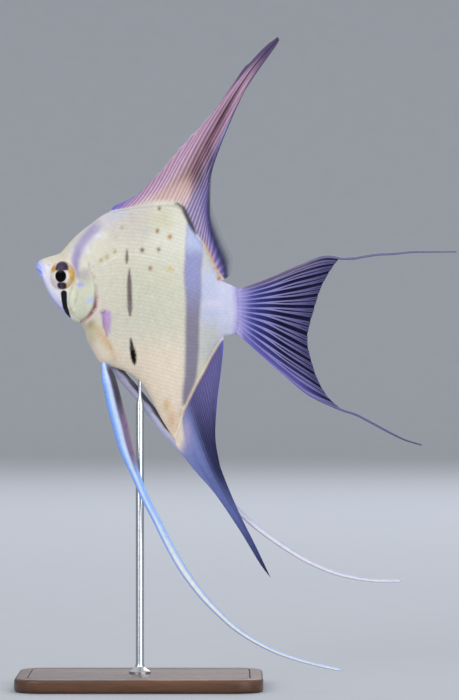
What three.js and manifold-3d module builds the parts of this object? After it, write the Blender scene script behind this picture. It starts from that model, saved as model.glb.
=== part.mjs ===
// A freshwater angelfish (Pterophyllum scalare) as a life-size still model on a display stand.
// Millimetres, +Z up. The head points to -X, the fish's left side faces -Y, and the origin is the
// centre of the stand's underside, below the rod.
import * as THREE from "three";
import { mergeVertices } from "three/addons/utils/BufferGeometryUtils.js";
import Module from "manifold-3d";

const wasm = await Module();
wasm.setup();

// Driving dimensions.
const STANDARD_LENGTH = 75; // tip of the snout to the base of the tail fin
const BODY_WIDTH = 13; // across the widest place, behind the gill covers
const SNOUT_X = -38.4; // the rod stands on X = 0, a little behind the pelvic fins
const SNOUT_Z = 153.4; // the lowest streamer then hangs 6 mm clear of what the stand is on
const GAP = 0.3; // between pieces that touch
const FIN_THICKNESS = 0.8;
const STREAMER_THICKNESS = 0.6;
const RIBBON_STEP = 4; // between the rings of a streamer
const EYE_RADII = [4.9, 2.3, 5.7]; // along the head, out of it, and up
const EYE_OUT = 4.2; // the eyeball's centre from the middle plane
const EYE_TURN = 0.2; // radians that each eye looks forward
const GILL_COVER_DEPTH = 3; // how near the middle plane the gill covers reach
const PELVIC_ROOT_OUT = 2.4; // the pelvic fins leave the breast this far from the middle plane
const PELVIC_SPLAY = 7; // and are this much further out at their tips
const PECTORAL_ROOT_OUT = 5.4;
const PECTORAL_LEAN = 0.42; // how far the pectoral fins stand out for each mm back
const DORSAL_SWAY = 2.5; // how far the tips of the tall fins and of the tail sway to one side
const ANAL_SWAY = -2;
const TAIL_SWAY = -6;
const BASE_LENGTH = 90;
const BASE_WIDTH = 56;
const BASE_HEIGHT = 5;
const BASE_CORNER = 10;
const BASE_BEVEL = 1;
const ROD_RADIUS = 1.5;
const COLLAR_RADIUS = 4;
const COLLAR_HEIGHT = 2;

// Every outline of the fish is in hundredths of the standard length: x back from the tip of the
// snout, z up from it, in the pose of the model.
const UNIT = STANDARD_LENGTH / 100;
const HALF_WIDTH = BODY_WIDTH / 2;
const BODY_END = 101;
const TAIL_BASE = 98;
const TAIL_TIP = 205.4;
const BACK_TOP = 30;
const DORSAL_TIP = 113.6;
const ANAL_BEND = -60; // the anal fin starts to sway below this
const ANAL_TIP = -151.7;
const EYE_PLACE = [13.4, -3.9];
const PECTORAL_ROOT = 33.6;
const ROD_TOP = -50; // inside the belly, which cuts the rod off
const POLE = 1e-6; // a ring smaller than this is an end point of the body

const flesh = new THREE.MeshStandardMaterial({ color: 0xdcd7c8, roughness: 0.35 });
const jawSkin = new THREE.MeshStandardMaterial({ color: 0xa4a4e4, roughness: 0.35 });
const finSkin = new THREE.MeshStandardMaterial({ color: 0x9a86ac, roughness: 0.4 });
const paleFin = new THREE.MeshStandardMaterial({ color: 0xa5c8f5, roughness: 0.35 });
const clearFin = new THREE.MeshStandardMaterial({ color: 0xd8dce6, roughness: 0.3 });
const eyeGlass = new THREE.MeshStandardMaterial({ color: 0x1a1418, roughness: 0.05 });
const baseWood = new THREE.MeshStandardMaterial({ color: 0x4a2f20, roughness: 0.4 });
const rodSteel = new THREE.MeshStandardMaterial({ color: 0xb9bcc0, roughness: 0.3, metalness: 1 });

const fish = new THREE.Group();
const stand = new THREE.Group();

// ---------------------------------------------------------------- helpers

const toX = (x) => SNOUT_X + x * UNIT;
const toZ = (z) => SNOUT_Z + z * UNIT;

// A smooth function through [x, value] points that doesn't overshoot them.
function profile(points) {
  const last = points.length - 1;
  const secants = [];
  for (let i = 0; i < last; i++) {
    const run = points[i + 1][0] - points[i][0];
    secants.push((points[i + 1][1] - points[i][1]) / run);
  }
  const slopes = points.map((_, i) => {
    if (i === 0) return secants[0];
    if (i === last) return secants[last - 1];
    const product = secants[i - 1] * secants[i];
    return product <= 0 ? 0 : (2 * product) / (secants[i - 1] + secants[i]);
  });
  return (x) => {
    const i = Math.max(0, Math.min(last - 1, points.findIndex((p) => p[0] > x) - 1));
    const start = x >= points[last][0] ? last - 1 : i;
    const run = points[start + 1][0] - points[start][0];
    const t = THREE.MathUtils.clamp((x - points[start][0]) / run, 0, 1);
    const risen = t * t * (3 - 2 * t);
    const lift = t * (1 - t) * ((1 - t) * slopes[start] - t * slopes[start + 1]) * run;
    return points[start][1] * (1 - risen) + points[start + 1][1] * risen + lift;
  };
}

// A closed geometry as a manifold-3d solid.
function solidOf(geometry) {
  const bare = geometry.clone();
  bare.deleteAttribute("normal");
  bare.deleteAttribute("uv");
  const merged = mergeVertices(bare, 1e-4);
  return new wasm.Manifold(
    new wasm.Mesh({
      numProp: 3,
      vertProperties: merged.attributes.position.array,
      triVerts: new Uint32Array(merged.index.array),
    }),
  );
}

function add(group, name, solid, material) {
  const mesh = solid.getMesh();
  const geometry = new THREE.BufferGeometry();
  geometry.setAttribute("position", new THREE.BufferAttribute(mesh.vertProperties, 3));
  geometry.setIndex(new THREE.BufferAttribute(mesh.triVerts, 1));
  geometry.computeVertexNormals();
  const piece = new THREE.Mesh(geometry, material);
  piece.name = name;
  group.add(piece);
}

// The points of smooth edges joined at corners; each edge is a list of [x, z].
function outline(...edges) {
  return edges.flatMap((edge) => {
    const curve = new THREE.SplineCurve(edge.map(([x, z]) => new THREE.Vector2(toX(x), toZ(z))));
    return edge.length > 2 ? curve.getPoints((edge.length - 1) * 2) : curve.points;
  });
}

// A flat plate of an outline, from y = near to y = far.
function plate(points, near, far) {
  const geometry = new THREE.ExtrudeGeometry(new THREE.Shape(points), {
    depth: far - near,
    bevelEnabled: false,
  });
  geometry.rotateX(Math.PI / 2);
  geometry.translate(0, far, 0);
  return geometry;
}

// Moves every vertex of a geometry by a function of its place.
function bend(geometry, move) {
  const at = geometry.attributes.position;
  const point = new THREE.Vector3();
  for (let i = 0; i < at.count; i++) {
    point.fromBufferAttribute(at, i);
    move(point);
    at.setXYZ(i, point.x, point.y, point.z);
  }
  return geometry;
}

// ---------------------------------------------------------------- body form

const backLine = profile([
  [0, 0], [0.7, 2.2], [2.4, 4.1], [6.3, 5.6], [11.7, 7.3], [14.6, 10.2], [17.6, 13.7],
  [22, 17.8], [26.8, 21.5], [31.7, 25.2], [36, 27.4], [46.3, 29.3], [56, 30.8], [66, 31.5],
  [70, 31], [72.6, 28.5], [75.6, 22.4], [78.5, 16.6], [82.4, 11.6], [85.4, 5.6], [88.3, -1],
  [92.2, -6.3], [98.6, -9.6], [100.2, -14], [101, -21],
]);
const bellyLine = profile([
  [0, 0], [1, -2.4], [3.2, -5.9], [7.3, -14.4], [12.4, -20.7], [17.1, -24.9], [19.5, -26.6],
  [23.4, -28.6], [25.1, -34.9], [27.3, -39.5], [30, -44.4], [33.2, -47.3], [36.6, -48.2],
  [42, -49.8], [48.5, -53.4], [52.9, -57.8], [56.6, -64.4], [59.5, -70.2], [63.9, -77.6],
  [68.4, -83.6], [70, -79], [72.2, -70.4], [75.4, -63.4], [78.5, -57.1], [82, -51], [85.9, -43.2],
  [90.7, -35.3], [93.4, -33.2], [98.4, -32.6], [100.1, -28], [101, -21],
]);
const spineLine = profile([
  [0, 0], [6, -2.4], [14, -5], [30, -8], [50, -9], [70, -14], [90, -20], [101, -21],
]);
const widthLine = profile([
  [0, 0], [0.5, 0.22], [2, 0.37], [6, 0.56], [13.5, 0.78], [20, 0.9], [27, 0.97], [36, 1],
  [48, 0.98], [60, 0.88], [72, 0.72], [84, 0.54], [93, 0.4], [98, 0.28], [100.3, 0.14], [101, 0],
]);
const keelSharpness = profile([[0, 0.8], [20, 1], [45, 1.15], [70, 1.5], [90, 1.05], [101, 0.9]]);

// The body's skin as a sphere laid along X and drawn out to the lines above, grown by some mm.
function bodyForm(grow) {
  const stations = 54;
  const sides = 20;
  const ball = new THREE.SphereGeometry(1, sides, stations);
  return bend(ball, (point) => {
    const along = (Math.acos(THREE.MathUtils.clamp(point.y, -1, 1)) / Math.PI) * stations;
    const share = Math.round(along) / stations;
    const x = (BODY_END * (1 - Math.cos(Math.PI * share))) / 2;
    const ring = Math.hypot(point.x, point.z);
    if (ring < POLE) {
      point.set(toX(x) + Math.sign(share - 0.5) * grow, 0, toZ(spineLine(x)));
      return;
    }
    const up = point.x / ring;
    const side = -point.z / ring;
    const spine = spineLine(x);
    const reach = up > 0 ? backLine(x) - spine : spine - bellyLine(x);
    const flat = Math.sign(side) * Math.abs(side) ** keelSharpness(x);
    point.set(
      toX(x),
      flat * (HALF_WIDTH * widthLine(x) + grow),
      toZ(spine + up * reach) + up * grow,
    );
  });
}

// ---------------------------------------------------------------- body parts

const body = solidOf(bodyForm(0));
const clearance = solidOf(bodyForm(GAP));

// What lies ahead of the gill opening, moved back by some mm for the other side of the cut.
function aheadOfGills(moved) {
  const edge = outline([
    [34.5, 40], [33.2, 24], [31.6, 8], [30.6, -2], [30.9, -12.7], [30.1, -18.6],
    [27.2, -24], [23.6, -28.8], [22, -40],
  ]).map((p) => p.clone().add(new THREE.Vector2(moved, -moved * 0.5)));
  const front = outline([[-10, -40], [-10, 40]]);
  return solidOf(plate([...edge, ...front], -BODY_WIDTH, BODY_WIDTH));
}

// What lies behind the narrowest place of the tail stem.
function behindStem(moved) {
  const edge = outline([[87, 20], [87.8, -4], [88.6, -20], [87.6, -36], [86, -60]]);
  const shifted = edge.map((p) => p.clone().add(new THREE.Vector2(moved, 0)));
  const back = outline([[110, -60], [110, 20]]);
  return solidOf(plate([...shifted, ...back], -BODY_WIDTH, BODY_WIDTH));
}

const jawOutline = (grow) =>
  outline([
    [-3, -0.5 + grow], [2.6, -1.3 + grow], [4.8 + grow, -4.6 + grow], [6.8 + grow, -9],
    [7.4 + grow, -12.5 - grow], [-3, -12.5 - grow],
  ]);
const gillOutline = (grow) =>
  outline([
    [20.2 - grow, -2.6], [24.6, 0.4 + grow], [28.9 + grow, -2.2], [28.6 + grow, -7],
    [29.3 + grow, -12.6], [28.4 + grow, -17.8], [25.6 + grow, -22.4 - grow],
    [22.2, -24.6 - grow], [19.2 - grow, -20.5], [18.6 - grow, -13], [20.2 - grow, -2.6],
  ]);

// A plate on one side of the fish only, which reaches in to some mm from the middle plane.
function sidePlate(points, side, reach) {
  const spans = side < 0 ? [-BODY_WIDTH, -reach] : [reach, BODY_WIDTH];
  return solidOf(plate(points, ...spans));
}

function eyeball(side, grow) {
  const ball = new THREE.SphereGeometry(1, 20, 12);
  ball.scale(...EYE_RADII.map((radius) => radius + grow));
  ball.rotateZ(side * EYE_TURN);
  ball.translate(toX(EYE_PLACE[0]), side * EYE_OUT, toZ(EYE_PLACE[1]));
  return solidOf(ball);
}

let head = body.intersect(aheadOfGills(0));
const jawSlot = solidOf(plate(jawOutline(GAP / UNIT), -BODY_WIDTH, BODY_WIDTH));
const jaw = head.intersect(solidOf(plate(jawOutline(0), -BODY_WIDTH, BODY_WIDTH)));
head = head.subtract(jawSlot);
for (const [side, word] of [[-1, "left"], [1, "right"]]) {
  const cover = head.intersect(sidePlate(gillOutline(0), side, GILL_COVER_DEPTH));
  head = head.subtract(sidePlate(gillOutline(GAP / UNIT), side, GILL_COVER_DEPTH - GAP));
  head = head.subtract(eyeball(side, GAP));
  add(fish, "gill_cover_" + word, cover.subtract(eyeball(side, GAP)), flesh);
  add(fish, "eye_" + word, eyeball(side, 0), eyeGlass);
}
add(fish, "head", head, flesh);
add(fish, "lower_jaw", jaw, jawSkin);

const trunk = body.subtract(aheadOfGills(GAP)).subtract(behindStem(-GAP));
add(fish, "trunk", trunk, flesh);
add(fish, "tail_stem", body.intersect(behindStem(0)), flesh);

// ---------------------------------------------------------------- fins of the middle plane

// A fin plate that sways out of the middle plane and is cut free of the body.
function middleFin(points, sway) {
  const half = FIN_THICKNESS / 2;
  const sheet = bend(plate(points, -half, half), (point) => {
    point.y += sway(point.x, point.z);
  });
  return solidOf(sheet).subtract(clearance);
}

const squareOver = (from, to, place) => Math.max(0, (place - from) / (to - from)) ** 2;
const dorsalSway = (x, z) => DORSAL_SWAY * squareOver(toZ(BACK_TOP), toZ(DORSAL_TIP), z);
const analSway = (x, z) => ANAL_SWAY * squareOver(toZ(ANAL_BEND), toZ(ANAL_TIP), z);
const tailSway = (x) => TAIL_SWAY * squareOver(toX(TAIL_BASE), toX(TAIL_TIP), x);

const dorsalOutline = outline(
  [
    [36, 26], [38, 29.8], [44.9, 32.9], [52.2, 37.8], [59, 45.1], [65.9, 53.7], [71.5, 60],
    [78.6, 68.1],
  ],
  [[80.6, 68.6], [87.8, 77.6], [94, 86.1], [100, 94.8], [105.8, 102.9]],
  [[107.6, 103.4], [112.7, 109.3], [118.8, 113.6]],
  [
    [119.6, 112], [109.5, 96.1], [103.3, 88], [97.1, 77.6], [94, 68.1], [90.2, 58],
    [86.6, 49.3], [85.4, 41], [85.9, 33.9], [88.2, 23.4], [93.6, 12], [96.8, 1.5], [94.6, -5],
    [88, -12],
  ],
  [[70, 20], [56, 26]],
);
add(fish, "dorsal_fin", middleFin(dorsalOutline, dorsalSway), finSkin);

const analOutline = outline(
  [
    [91, -30], [92, -36], [91.5, -43.2], [89.9, -52.9], [88.6, -67.3], [87.9, -78.8],
    [88.7, -90.2], [90.9, -98], [94.4, -107.8], [98.8, -117.6], [103.7, -128.3],
    [108.5, -137.1], [112.6, -145.1], [115.4, -151.7],
  ],
  [
    [114.6, -151.6], [105.4, -137.1], [99.5, -127.3], [93.2, -117.6], [86.7, -108.8],
    [82.6, -104.6],
  ],
  [[81.4, -104.2], [77.1, -98], [71.6, -91.2], [68.6, -86.8], [66.6, -82], [68, -76]],
  [[74, -56], [84, -34]],
);
add(fish, "anal_fin", middleFin(analOutline, analSway), finSkin);

const upperLobe = outline(
  [[97, -21], [97, -12], [98.6, -9.5]],
  [
    [99.5, -9.3], [104.7, -8], [112.7, -4.9], [120.8, -1.6], [128.8, 2], [136.9, 5.2],
    [144.9, 6.6], [149.4, 5.9],
  ],
  [
    [150, 4.1], [147.3, 1.2], [143.4, -4.9], [141, -8.8], [139.3, -13.7], [137.3, -21],
    [136.4, -24.3],
  ],
);
add(fish, "tail_fin_upper", middleFin(upperLobe, tailSway), finSkin);

const lowerLobe = outline(
  [[97, -21.5], [136.2, -24.8]],
  [
    [135.9, -26], [134, -33], [134.5, -41], [136.1, -48.3], [138.5, -54.1], [141, -60.5],
    [144.9, -64.4], [150.4, -68.6],
  ],
  [
    [149.6, -70.1], [141.7, -67.7], [135.1, -63.7], [127.3, -58], [120.8, -52.4],
    [115.1, -47.5], [108.8, -42], [103.9, -37.1], [98.6, -33.2],
  ],
);
add(fish, "tail_fin_lower", middleFin(lowerLobe, tailSway), finSkin);

// ---------------------------------------------------------------- streamers and paired fins

// A flattened rod along part of a route, with its width across the route as a function of how far
// along the whole route it is.
function ribbon(route, from, to, widthAt, thickness) {
  const sides = 8;
  const steps = Math.ceil((route.getLength() * (to - from)) / RIBBON_STEP);
  const rod = new THREE.CylinderGeometry(1, 1, 1, sides, steps);
  return bend(rod, (point) => {
    const share = from + (to - from) * (0.5 + point.y);
    const centre = route.getPointAt(share);
    const along = route.getTangentAt(share);
    const across = new THREE.Vector3(-along.z, 0, along.x).normalize();
    const offset = across.multiplyScalar((point.x * widthAt(share) * UNIT) / 2);
    point.set(centre.x + offset.x, centre.y + (point.z * thickness) / 2, centre.z + offset.z);
  });
}

// A route through [x, z] points, with y in mm as a function of the share of the points passed.
function routeThrough(points, yAt) {
  const last = points.length - 1;
  const knots = points.map(([x, z], i) => new THREE.Vector3(toX(x), yAt(i / last, toX(x)), toZ(z)));
  return new THREE.CatmullRomCurve3(knots);
}

const streamerWidth = (share) => 1.3 - 0.5 * share;
const onTail = (share, x) => tailSway(x);
const upperStreamer = routeThrough(
  [[150.3, 4], [155, 4.5], [161, 5.6], [167.5, 6.5], [175.6, 6.9], [185.4, 7.7], [205.4, 7.7]],
  onTail,
);
const lowerStreamer = routeThrough(
  [[150.5, -69.5], [156.1, -71.3], [163.9, -75.3], [173.7, -80.6], [181, -84], [188.6, -86.3]],
  onTail,
);
for (const [word, route] of [["upper", upperStreamer], ["lower", lowerStreamer]]) {
  const rod = ribbon(route, 0.01, 1, streamerWidth, STREAMER_THICKNESS);
  add(fish, "tail_streamer_" + word, solidOf(rod), finSkin);
}

const leftPelvic = {
  route: [
    [35.4, -44], [35.8, -49], [37, -56.2], [39.4, -67.7], [41.8, -76.6], [44, -85.5],
    [46.7, -93.7], [49.8, -101.8], [54.5, -113], [59.2, -122], [63.2, -130.2], [67.3, -138],
    [71.2, -144.8], [75.4, -151.1], [83.2, -161], [90, -168], [98, -175.2], [108.4, -181.9],
    [119.5, -187.2], [135.8, -192.2], [149.5, -195.3],
  ],
  width: profile([
    [0, 4.6], [0.03, 5.6], [0.06, 7.2], [0.16, 7.8], [0.2, 7.4], [0.25, 6], [0.29, 4.5],
    [0.35, 3.8], [0.5, 3.8], [0.6, 3.4], [0.68, 2.7], [0.79, 2.1], [1, 1.3],
  ]),
};
const rightPelvic = {
  route: [
    [34.6, -41], [40.5, -50.2], [48.8, -60], [54.5, -67.2], [58.5, -72.2], [64.2, -79.5],
    [70.7, -87.3], [80.5, -98.3], [90, -108.8], [98.6, -118.1], [106.5, -125.4],
    [119.5, -135.1], [135.8, -144.9], [152, -150.9], [168.3, -153.3], [179.7, -153.5],
  ],
  width: profile([
    [0, 4.6], [0.05, 5], [0.17, 5.2], [0.26, 4.8], [0.35, 4], [0.52, 2.8], [0.67, 2.5],
    [0.85, 1.8], [1, 1.3],
  ]),
};
const lengths = [["fin", 0, 0.33], ["streamer", 0.333, 0.66], ["streamer_tip", 0.663, 1]];
for (const [side, word, shape] of [[-1, "left", leftPelvic], [1, "right", rightPelvic]]) {
  const splayed = (share) => side * (PELVIC_ROOT_OUT + PELVIC_SPLAY * share);
  const route = routeThrough(shape.route, splayed);
  for (const [part, from, to] of lengths) {
    const blade = solidOf(ribbon(route, from, to, shape.width, FIN_THICKNESS));
    add(fish, "pelvic_" + part + "_" + word, blade.subtract(clearance), paleFin);
  }
}

const pectoralOutline = outline(
  [[PECTORAL_ROOT, -22], [40, -19.6], [48, -15.6], [55.4, -11.8]],
  [[57.4, -13.6], [58.6, -20], [57.6, -27], [54, -34.2], [49.6, -39.6], [44.6, -43]],
  [[43.4, -41], [38.6, -35], [34.4, -31.6]],
);
for (const [side, word] of [[-1, "left"], [1, "right"]]) {
  const half = STREAMER_THICKNESS / 2;
  const fan = bend(plate(pectoralOutline, -half, half), (point) => {
    point.y += side * (PECTORAL_ROOT_OUT + PECTORAL_LEAN * (point.x - toX(PECTORAL_ROOT)));
  });
  add(fish, "pectoral_fin_" + word, solidOf(fan).subtract(clearance), clearFin);
}

// ---------------------------------------------------------------- stand

function roundedRectangle(length, width, corner) {
  const shape = new THREE.Shape();
  const x = length / 2 - corner;
  const y = width / 2 - corner;
  shape.absarc(x, y, corner, 0, Math.PI / 2);
  shape.absarc(-x, y, corner, Math.PI / 2, Math.PI);
  shape.absarc(-x, -y, corner, Math.PI, 1.5 * Math.PI);
  shape.absarc(x, -y, corner, 1.5 * Math.PI, 2 * Math.PI);
  return shape;
}

const slab = new THREE.ExtrudeGeometry(
  roundedRectangle(BASE_LENGTH - 2 * BASE_BEVEL, BASE_WIDTH - 2 * BASE_BEVEL, BASE_CORNER),
  {
    depth: BASE_HEIGHT - 2 * BASE_BEVEL,
    bevelThickness: BASE_BEVEL,
    bevelSize: BASE_BEVEL,
    bevelSegments: 2,
    curveSegments: 5,
  },
);
slab.translate(0, 0, BASE_BEVEL);
add(stand, "stand_base", solidOf(slab), baseWood);

const rodFoot = BASE_HEIGHT + GAP;
const rodTop = toZ(ROD_TOP);
const rod = new THREE.LatheGeometry(
  [
    [0, rodFoot], [COLLAR_RADIUS, rodFoot], [COLLAR_RADIUS, rodFoot + COLLAR_HEIGHT * 0.6],
    [ROD_RADIUS * 1.4, rodFoot + COLLAR_HEIGHT], [ROD_RADIUS, rodFoot + COLLAR_HEIGHT * 1.6],
    [ROD_RADIUS, rodTop], [0, rodTop],
  ].map(([radius, height]) => new THREE.Vector2(radius, height)),
  24,
);
rod.rotateX(Math.PI / 2);
add(stand, "stand_rod", solidOf(rod).subtract(clearance), rodSteel);

const model = new THREE.Group();
model.add(fish, stand);

export default model;
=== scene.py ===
"""A freshwater angelfish on a display stand: skin, scales, fins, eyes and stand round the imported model.

The fish is drawn in hundredths of its standard length: x back from the tip of the snout, z up from it,
and y out to its right, so that -y is its left side. on_the_stand() turns these into metres.
"""
import functools
import math

import bmesh
import bpy
import numpy as np
from bpy.props import FloatProperty, FloatVectorProperty, PointerProperty
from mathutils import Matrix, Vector


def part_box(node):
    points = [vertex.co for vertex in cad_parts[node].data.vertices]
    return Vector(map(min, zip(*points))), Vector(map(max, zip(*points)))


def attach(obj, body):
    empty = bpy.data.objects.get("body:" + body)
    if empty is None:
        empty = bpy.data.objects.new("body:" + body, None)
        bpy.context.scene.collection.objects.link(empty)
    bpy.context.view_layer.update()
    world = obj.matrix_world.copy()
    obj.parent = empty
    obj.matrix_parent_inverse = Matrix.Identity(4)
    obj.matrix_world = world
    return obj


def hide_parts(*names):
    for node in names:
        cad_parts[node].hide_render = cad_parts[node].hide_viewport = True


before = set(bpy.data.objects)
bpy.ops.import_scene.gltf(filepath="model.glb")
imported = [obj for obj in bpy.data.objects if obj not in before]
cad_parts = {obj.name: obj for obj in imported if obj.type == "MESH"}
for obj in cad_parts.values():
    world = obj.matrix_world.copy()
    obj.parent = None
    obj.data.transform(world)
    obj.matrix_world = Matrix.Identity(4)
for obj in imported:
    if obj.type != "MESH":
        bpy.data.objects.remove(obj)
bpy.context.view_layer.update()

bl_info = {
    "name": "Angelfish on a display stand",
    "version": (1, 0, 0),
    "blender": (4, 5, 0),
    "location": "3D View > Sidebar > Angelfish",
    "description": "Builds the skin, scales, fins, eyes and stand of a life-size freshwater angelfish",
    "category": "Add Mesh",
}

# ---------------------------------------------------------------- sizes

BODY_END = 101
EYE_HEIGHT = -3.9  # of the CAD eye's middle
HEAD_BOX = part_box("head")
EYE_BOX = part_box("eye_left")
BASE_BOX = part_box("stand_base")
ROD_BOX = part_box("stand_rod")
UNIT = (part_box("tail_stem")[1].x - HEAD_BOX[0].x) / BODY_END
SNOUT_X = HEAD_BOX[0].x
SNOUT_Z = (EYE_BOX[0].z + EYE_BOX[1].z) / 2 - EYE_HEIGHT * UNIT
HALF_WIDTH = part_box("trunk")[1].y / UNIT
MM = 0.001 / UNIT  # a millimetre in hundredths of the length
SIDES = ((-1, "left"), (1, "right"))

COAT_DEPTH = 0.25 * MM  # the skin lies this far inside the body form, for the scales
DORSAL_SWAY = 2.5 * MM
ANAL_SWAY = -2 * MM
TAIL_SWAY = -6 * MM

# ---------------------------------------------------------------- the body's lines

BACK_LINE = [
    (0, 0), (0.7, 2.2), (2.4, 4.1), (6.3, 5.6), (11.7, 7.3), (14.6, 10.2), (17.6, 13.7), (22, 17.8),
    (26.8, 21.5), (31.7, 25.2), (36, 27.4), (46.3, 29.3), (56, 30.8), (66, 31.5), (70, 31),
    (72.6, 28.5), (75.6, 22.4), (78.5, 16.6), (82.4, 11.6), (85.4, 5.6), (88.3, -1), (92.2, -6.3),
    (98.6, -9.6), (100.2, -14), (101, -21),
]
BELLY_LINE = [
    (0, 0), (1, -2.4), (3.2, -5.9), (7.3, -14.4), (12.4, -20.7), (17.1, -24.9), (19.5, -26.6),
    (23.4, -28.6), (25.1, -34.9), (27.3, -39.5), (30, -44.4), (33.2, -47.3), (36.6, -48.2), (42, -49.8),
    (48.5, -53.4), (52.9, -57.8), (56.6, -64.4), (59.5, -70.2), (63.9, -77.6), (68.4, -83.6), (70, -79),
    (72.2, -70.4), (75.4, -63.4), (78.5, -57.1), (82, -51), (85.9, -43.2), (90.7, -35.3), (93.4, -33.2),
    (98.4, -32.6), (100.1, -28), (101, -21),
]
SPINE_LINE = [(0, 0), (6, -2.4), (14, -5), (30, -8), (50, -9), (70, -14), (90, -20), (101, -21)]
WIDTH_LINE = [
    (0, 0), (0.5, 0.22), (2, 0.37), (6, 0.56), (13.5, 0.78), (20, 0.9), (27, 0.97), (36, 1), (48, 0.98),
    (60, 0.88), (72, 0.72), (84, 0.52), (91, 0.37), (95.5, 0.25), (98.5, 0.16), (100.2, 0.09), (101, 0),
]
KEEL_SHARPNESS = [(0, 0.8), (20, 1), (45, 1.15), (70, 1.5), (90, 1.05), (101, 0.9)]

# Folds and bones of the head, each a line down the side of the fish.
GILL_EDGE = [
    (25.6, 3.2), (28.4, -3.8), (29.4, -9), (29.6, -14), (29.3, -18.6), (27.3, -22.2), (21.3, -26.8),
]
CHEEK_BONE = [(20.4, -4), (21.8, -9), (21.2, -14.5), (18.8, -19.6), (14.4, -22.6)]
CHEEK_RIDGE = [(18.7, -12), (18.2, -16), (19, -20.5)]
SHOULDER = [(31.2, 4), (33.2, -3), (33.2, -12), (33.4, -19)]
MOUTH = [(-0.6, -0.2), (1.6, -1.2), (3.6, -3.1)]
LIP_FOLD = [(2.3, 3.4), (4, 0.4), (4.6, -3), (5.6, -6.4)]
THROAT_FOLD = [(12.6, -19.6), (17.6, -22.9), (22, -25.8)]
LORE_FOLD = [(7.9, -7.6), (9.3, -13), (12.2, -17.8)]
NOSTRIL = (7.1, 1.3)
EYE_CENTRE = (13.7, -3.7)
SOCKET = (5.75, 6.7)  # half the width and half the height of the eye where it comes out of the skin


# ---------------------------------------------------------------- numbers

def linear(hex_colour):
    """An sRGB hex colour as linear red, green and blue."""
    parts = np.array([int(hex_colour[i:i + 2], 16) / 255 for i in (0, 2, 4)])
    return np.where(parts <= 0.04045, parts / 12.92, ((parts + 0.055) / 1.055) ** 2.4)


def smooth(low, high, value):
    """Rises softly from 0 at low to 1 at high, or falls where low is above high."""
    share = np.clip((value - low) / (high - low), 0, 1)
    return share * share * (3 - 2 * share)


def bump(gap, width):
    """1 on a line and 0 well away from it."""
    return np.exp(-(gap / width) ** 2)


def oval(x, z, centre, radii):
    """How far out places are from an oval's centre, 1 on its edge."""
    return np.hypot((x - centre[0]) / radii[0], (z - centre[1]) / radii[1])


def spot(x, z, centre, radii):
    """1 at the middle of a soft oval spot and 0 well away from it."""
    return bump(oval(x, z, centre, radii), 1)


def passed_along(points):
    """The length passed at each of the points of a line."""
    steps = np.linalg.norm(np.diff(points, axis=0), axis=1)
    return np.concatenate([[0], np.cumsum(steps)])


def through(knots, values, at):
    """A smooth line through the values at the knots, which doesn't overshoot them, read at places."""
    knots = np.array(knots, float)
    values = np.array(values, float)
    flat = values.reshape(len(knots), -1)
    run = np.diff(knots)[:, None]
    secant = np.diff(flat, axis=0) / run
    product = secant[1:] * secant[:-1]
    total = secant[1:] + secant[:-1]
    inner = np.where(product > 0, 2 * product / np.where(total == 0, 1, total), 0)
    slope = np.concatenate([secant[:1], inner, secant[-1:]])
    at = np.clip(np.asarray(at, float), knots[0], knots[-1])
    i = np.clip(np.searchsorted(knots, at, side="right") - 1, 0, len(run) - 1)
    t = ((at - knots[i]) / run[i, 0])[..., None]
    risen = t * t * (3 - 2 * t)
    lift = t * (1 - t) * ((1 - t) * slope[i] - t * slope[i + 1]) * run[i]
    read = flat[i] * (1 - risen) + flat[i + 1] * risen + lift
    return read.reshape(at.shape + values.shape[1:])


def profile(points, at):
    """The height of a line of (place, height) points, read at some places."""
    places, heights = zip(*points)
    return through(places, heights, at)


def curved(points, count):
    """A smooth line through points, as a number of short straight ones."""
    points = np.array(points, float)
    passed = passed_along(points)
    return through(passed, points, np.linspace(0, passed[-1], count))


def nearest(line, x, z):
    """How far places are from a line, positive behind one that runs down, and the share of the line
    passed there."""
    line = np.array(line, float)
    passed = passed_along(line)
    passed = passed / passed[-1]
    best = np.full(np.shape(x), np.inf)
    share = np.zeros(np.shape(x))
    for i, (start, end) in enumerate(zip(line[:-1], line[1:])):
        run = end - start
        dx, dz = x - start[0], z - start[1]
        part = np.clip((dx * run[0] + dz * run[1]) / (run @ run), 0, 1)
        gap = np.hypot(dx - part * run[0], dz - part * run[1])
        closer = gap < np.abs(best)
        best = np.where(closer, np.where(run[0] * dz < run[1] * dx, -gap, gap), best)
        share = np.where(closer, passed[i] + part * (passed[i + 1] - passed[i]), share)
    return best, share


def off(line, x, z):
    """How far places are from a line, positive behind one that runs down."""
    return nearest(line, x, z)[0]


def stripe(x, z, line, widths, softness):
    """1 on a stripe along a line, whose half width is a profile of the share passed, and 0 off it."""
    gap, share = nearest(line, x, z)
    return smooth(softness, -softness, np.abs(gap) - profile(widths, share))


def on_the_stand(points):
    """Points of the fish in metres, in the frame of the stand."""
    return points * UNIT + np.array([SNOUT_X, 0, SNOUT_Z])


# ---------------------------------------------------------------- the body's surface

GILL_CURVE = curved(GILL_EDGE, 22)


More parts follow.
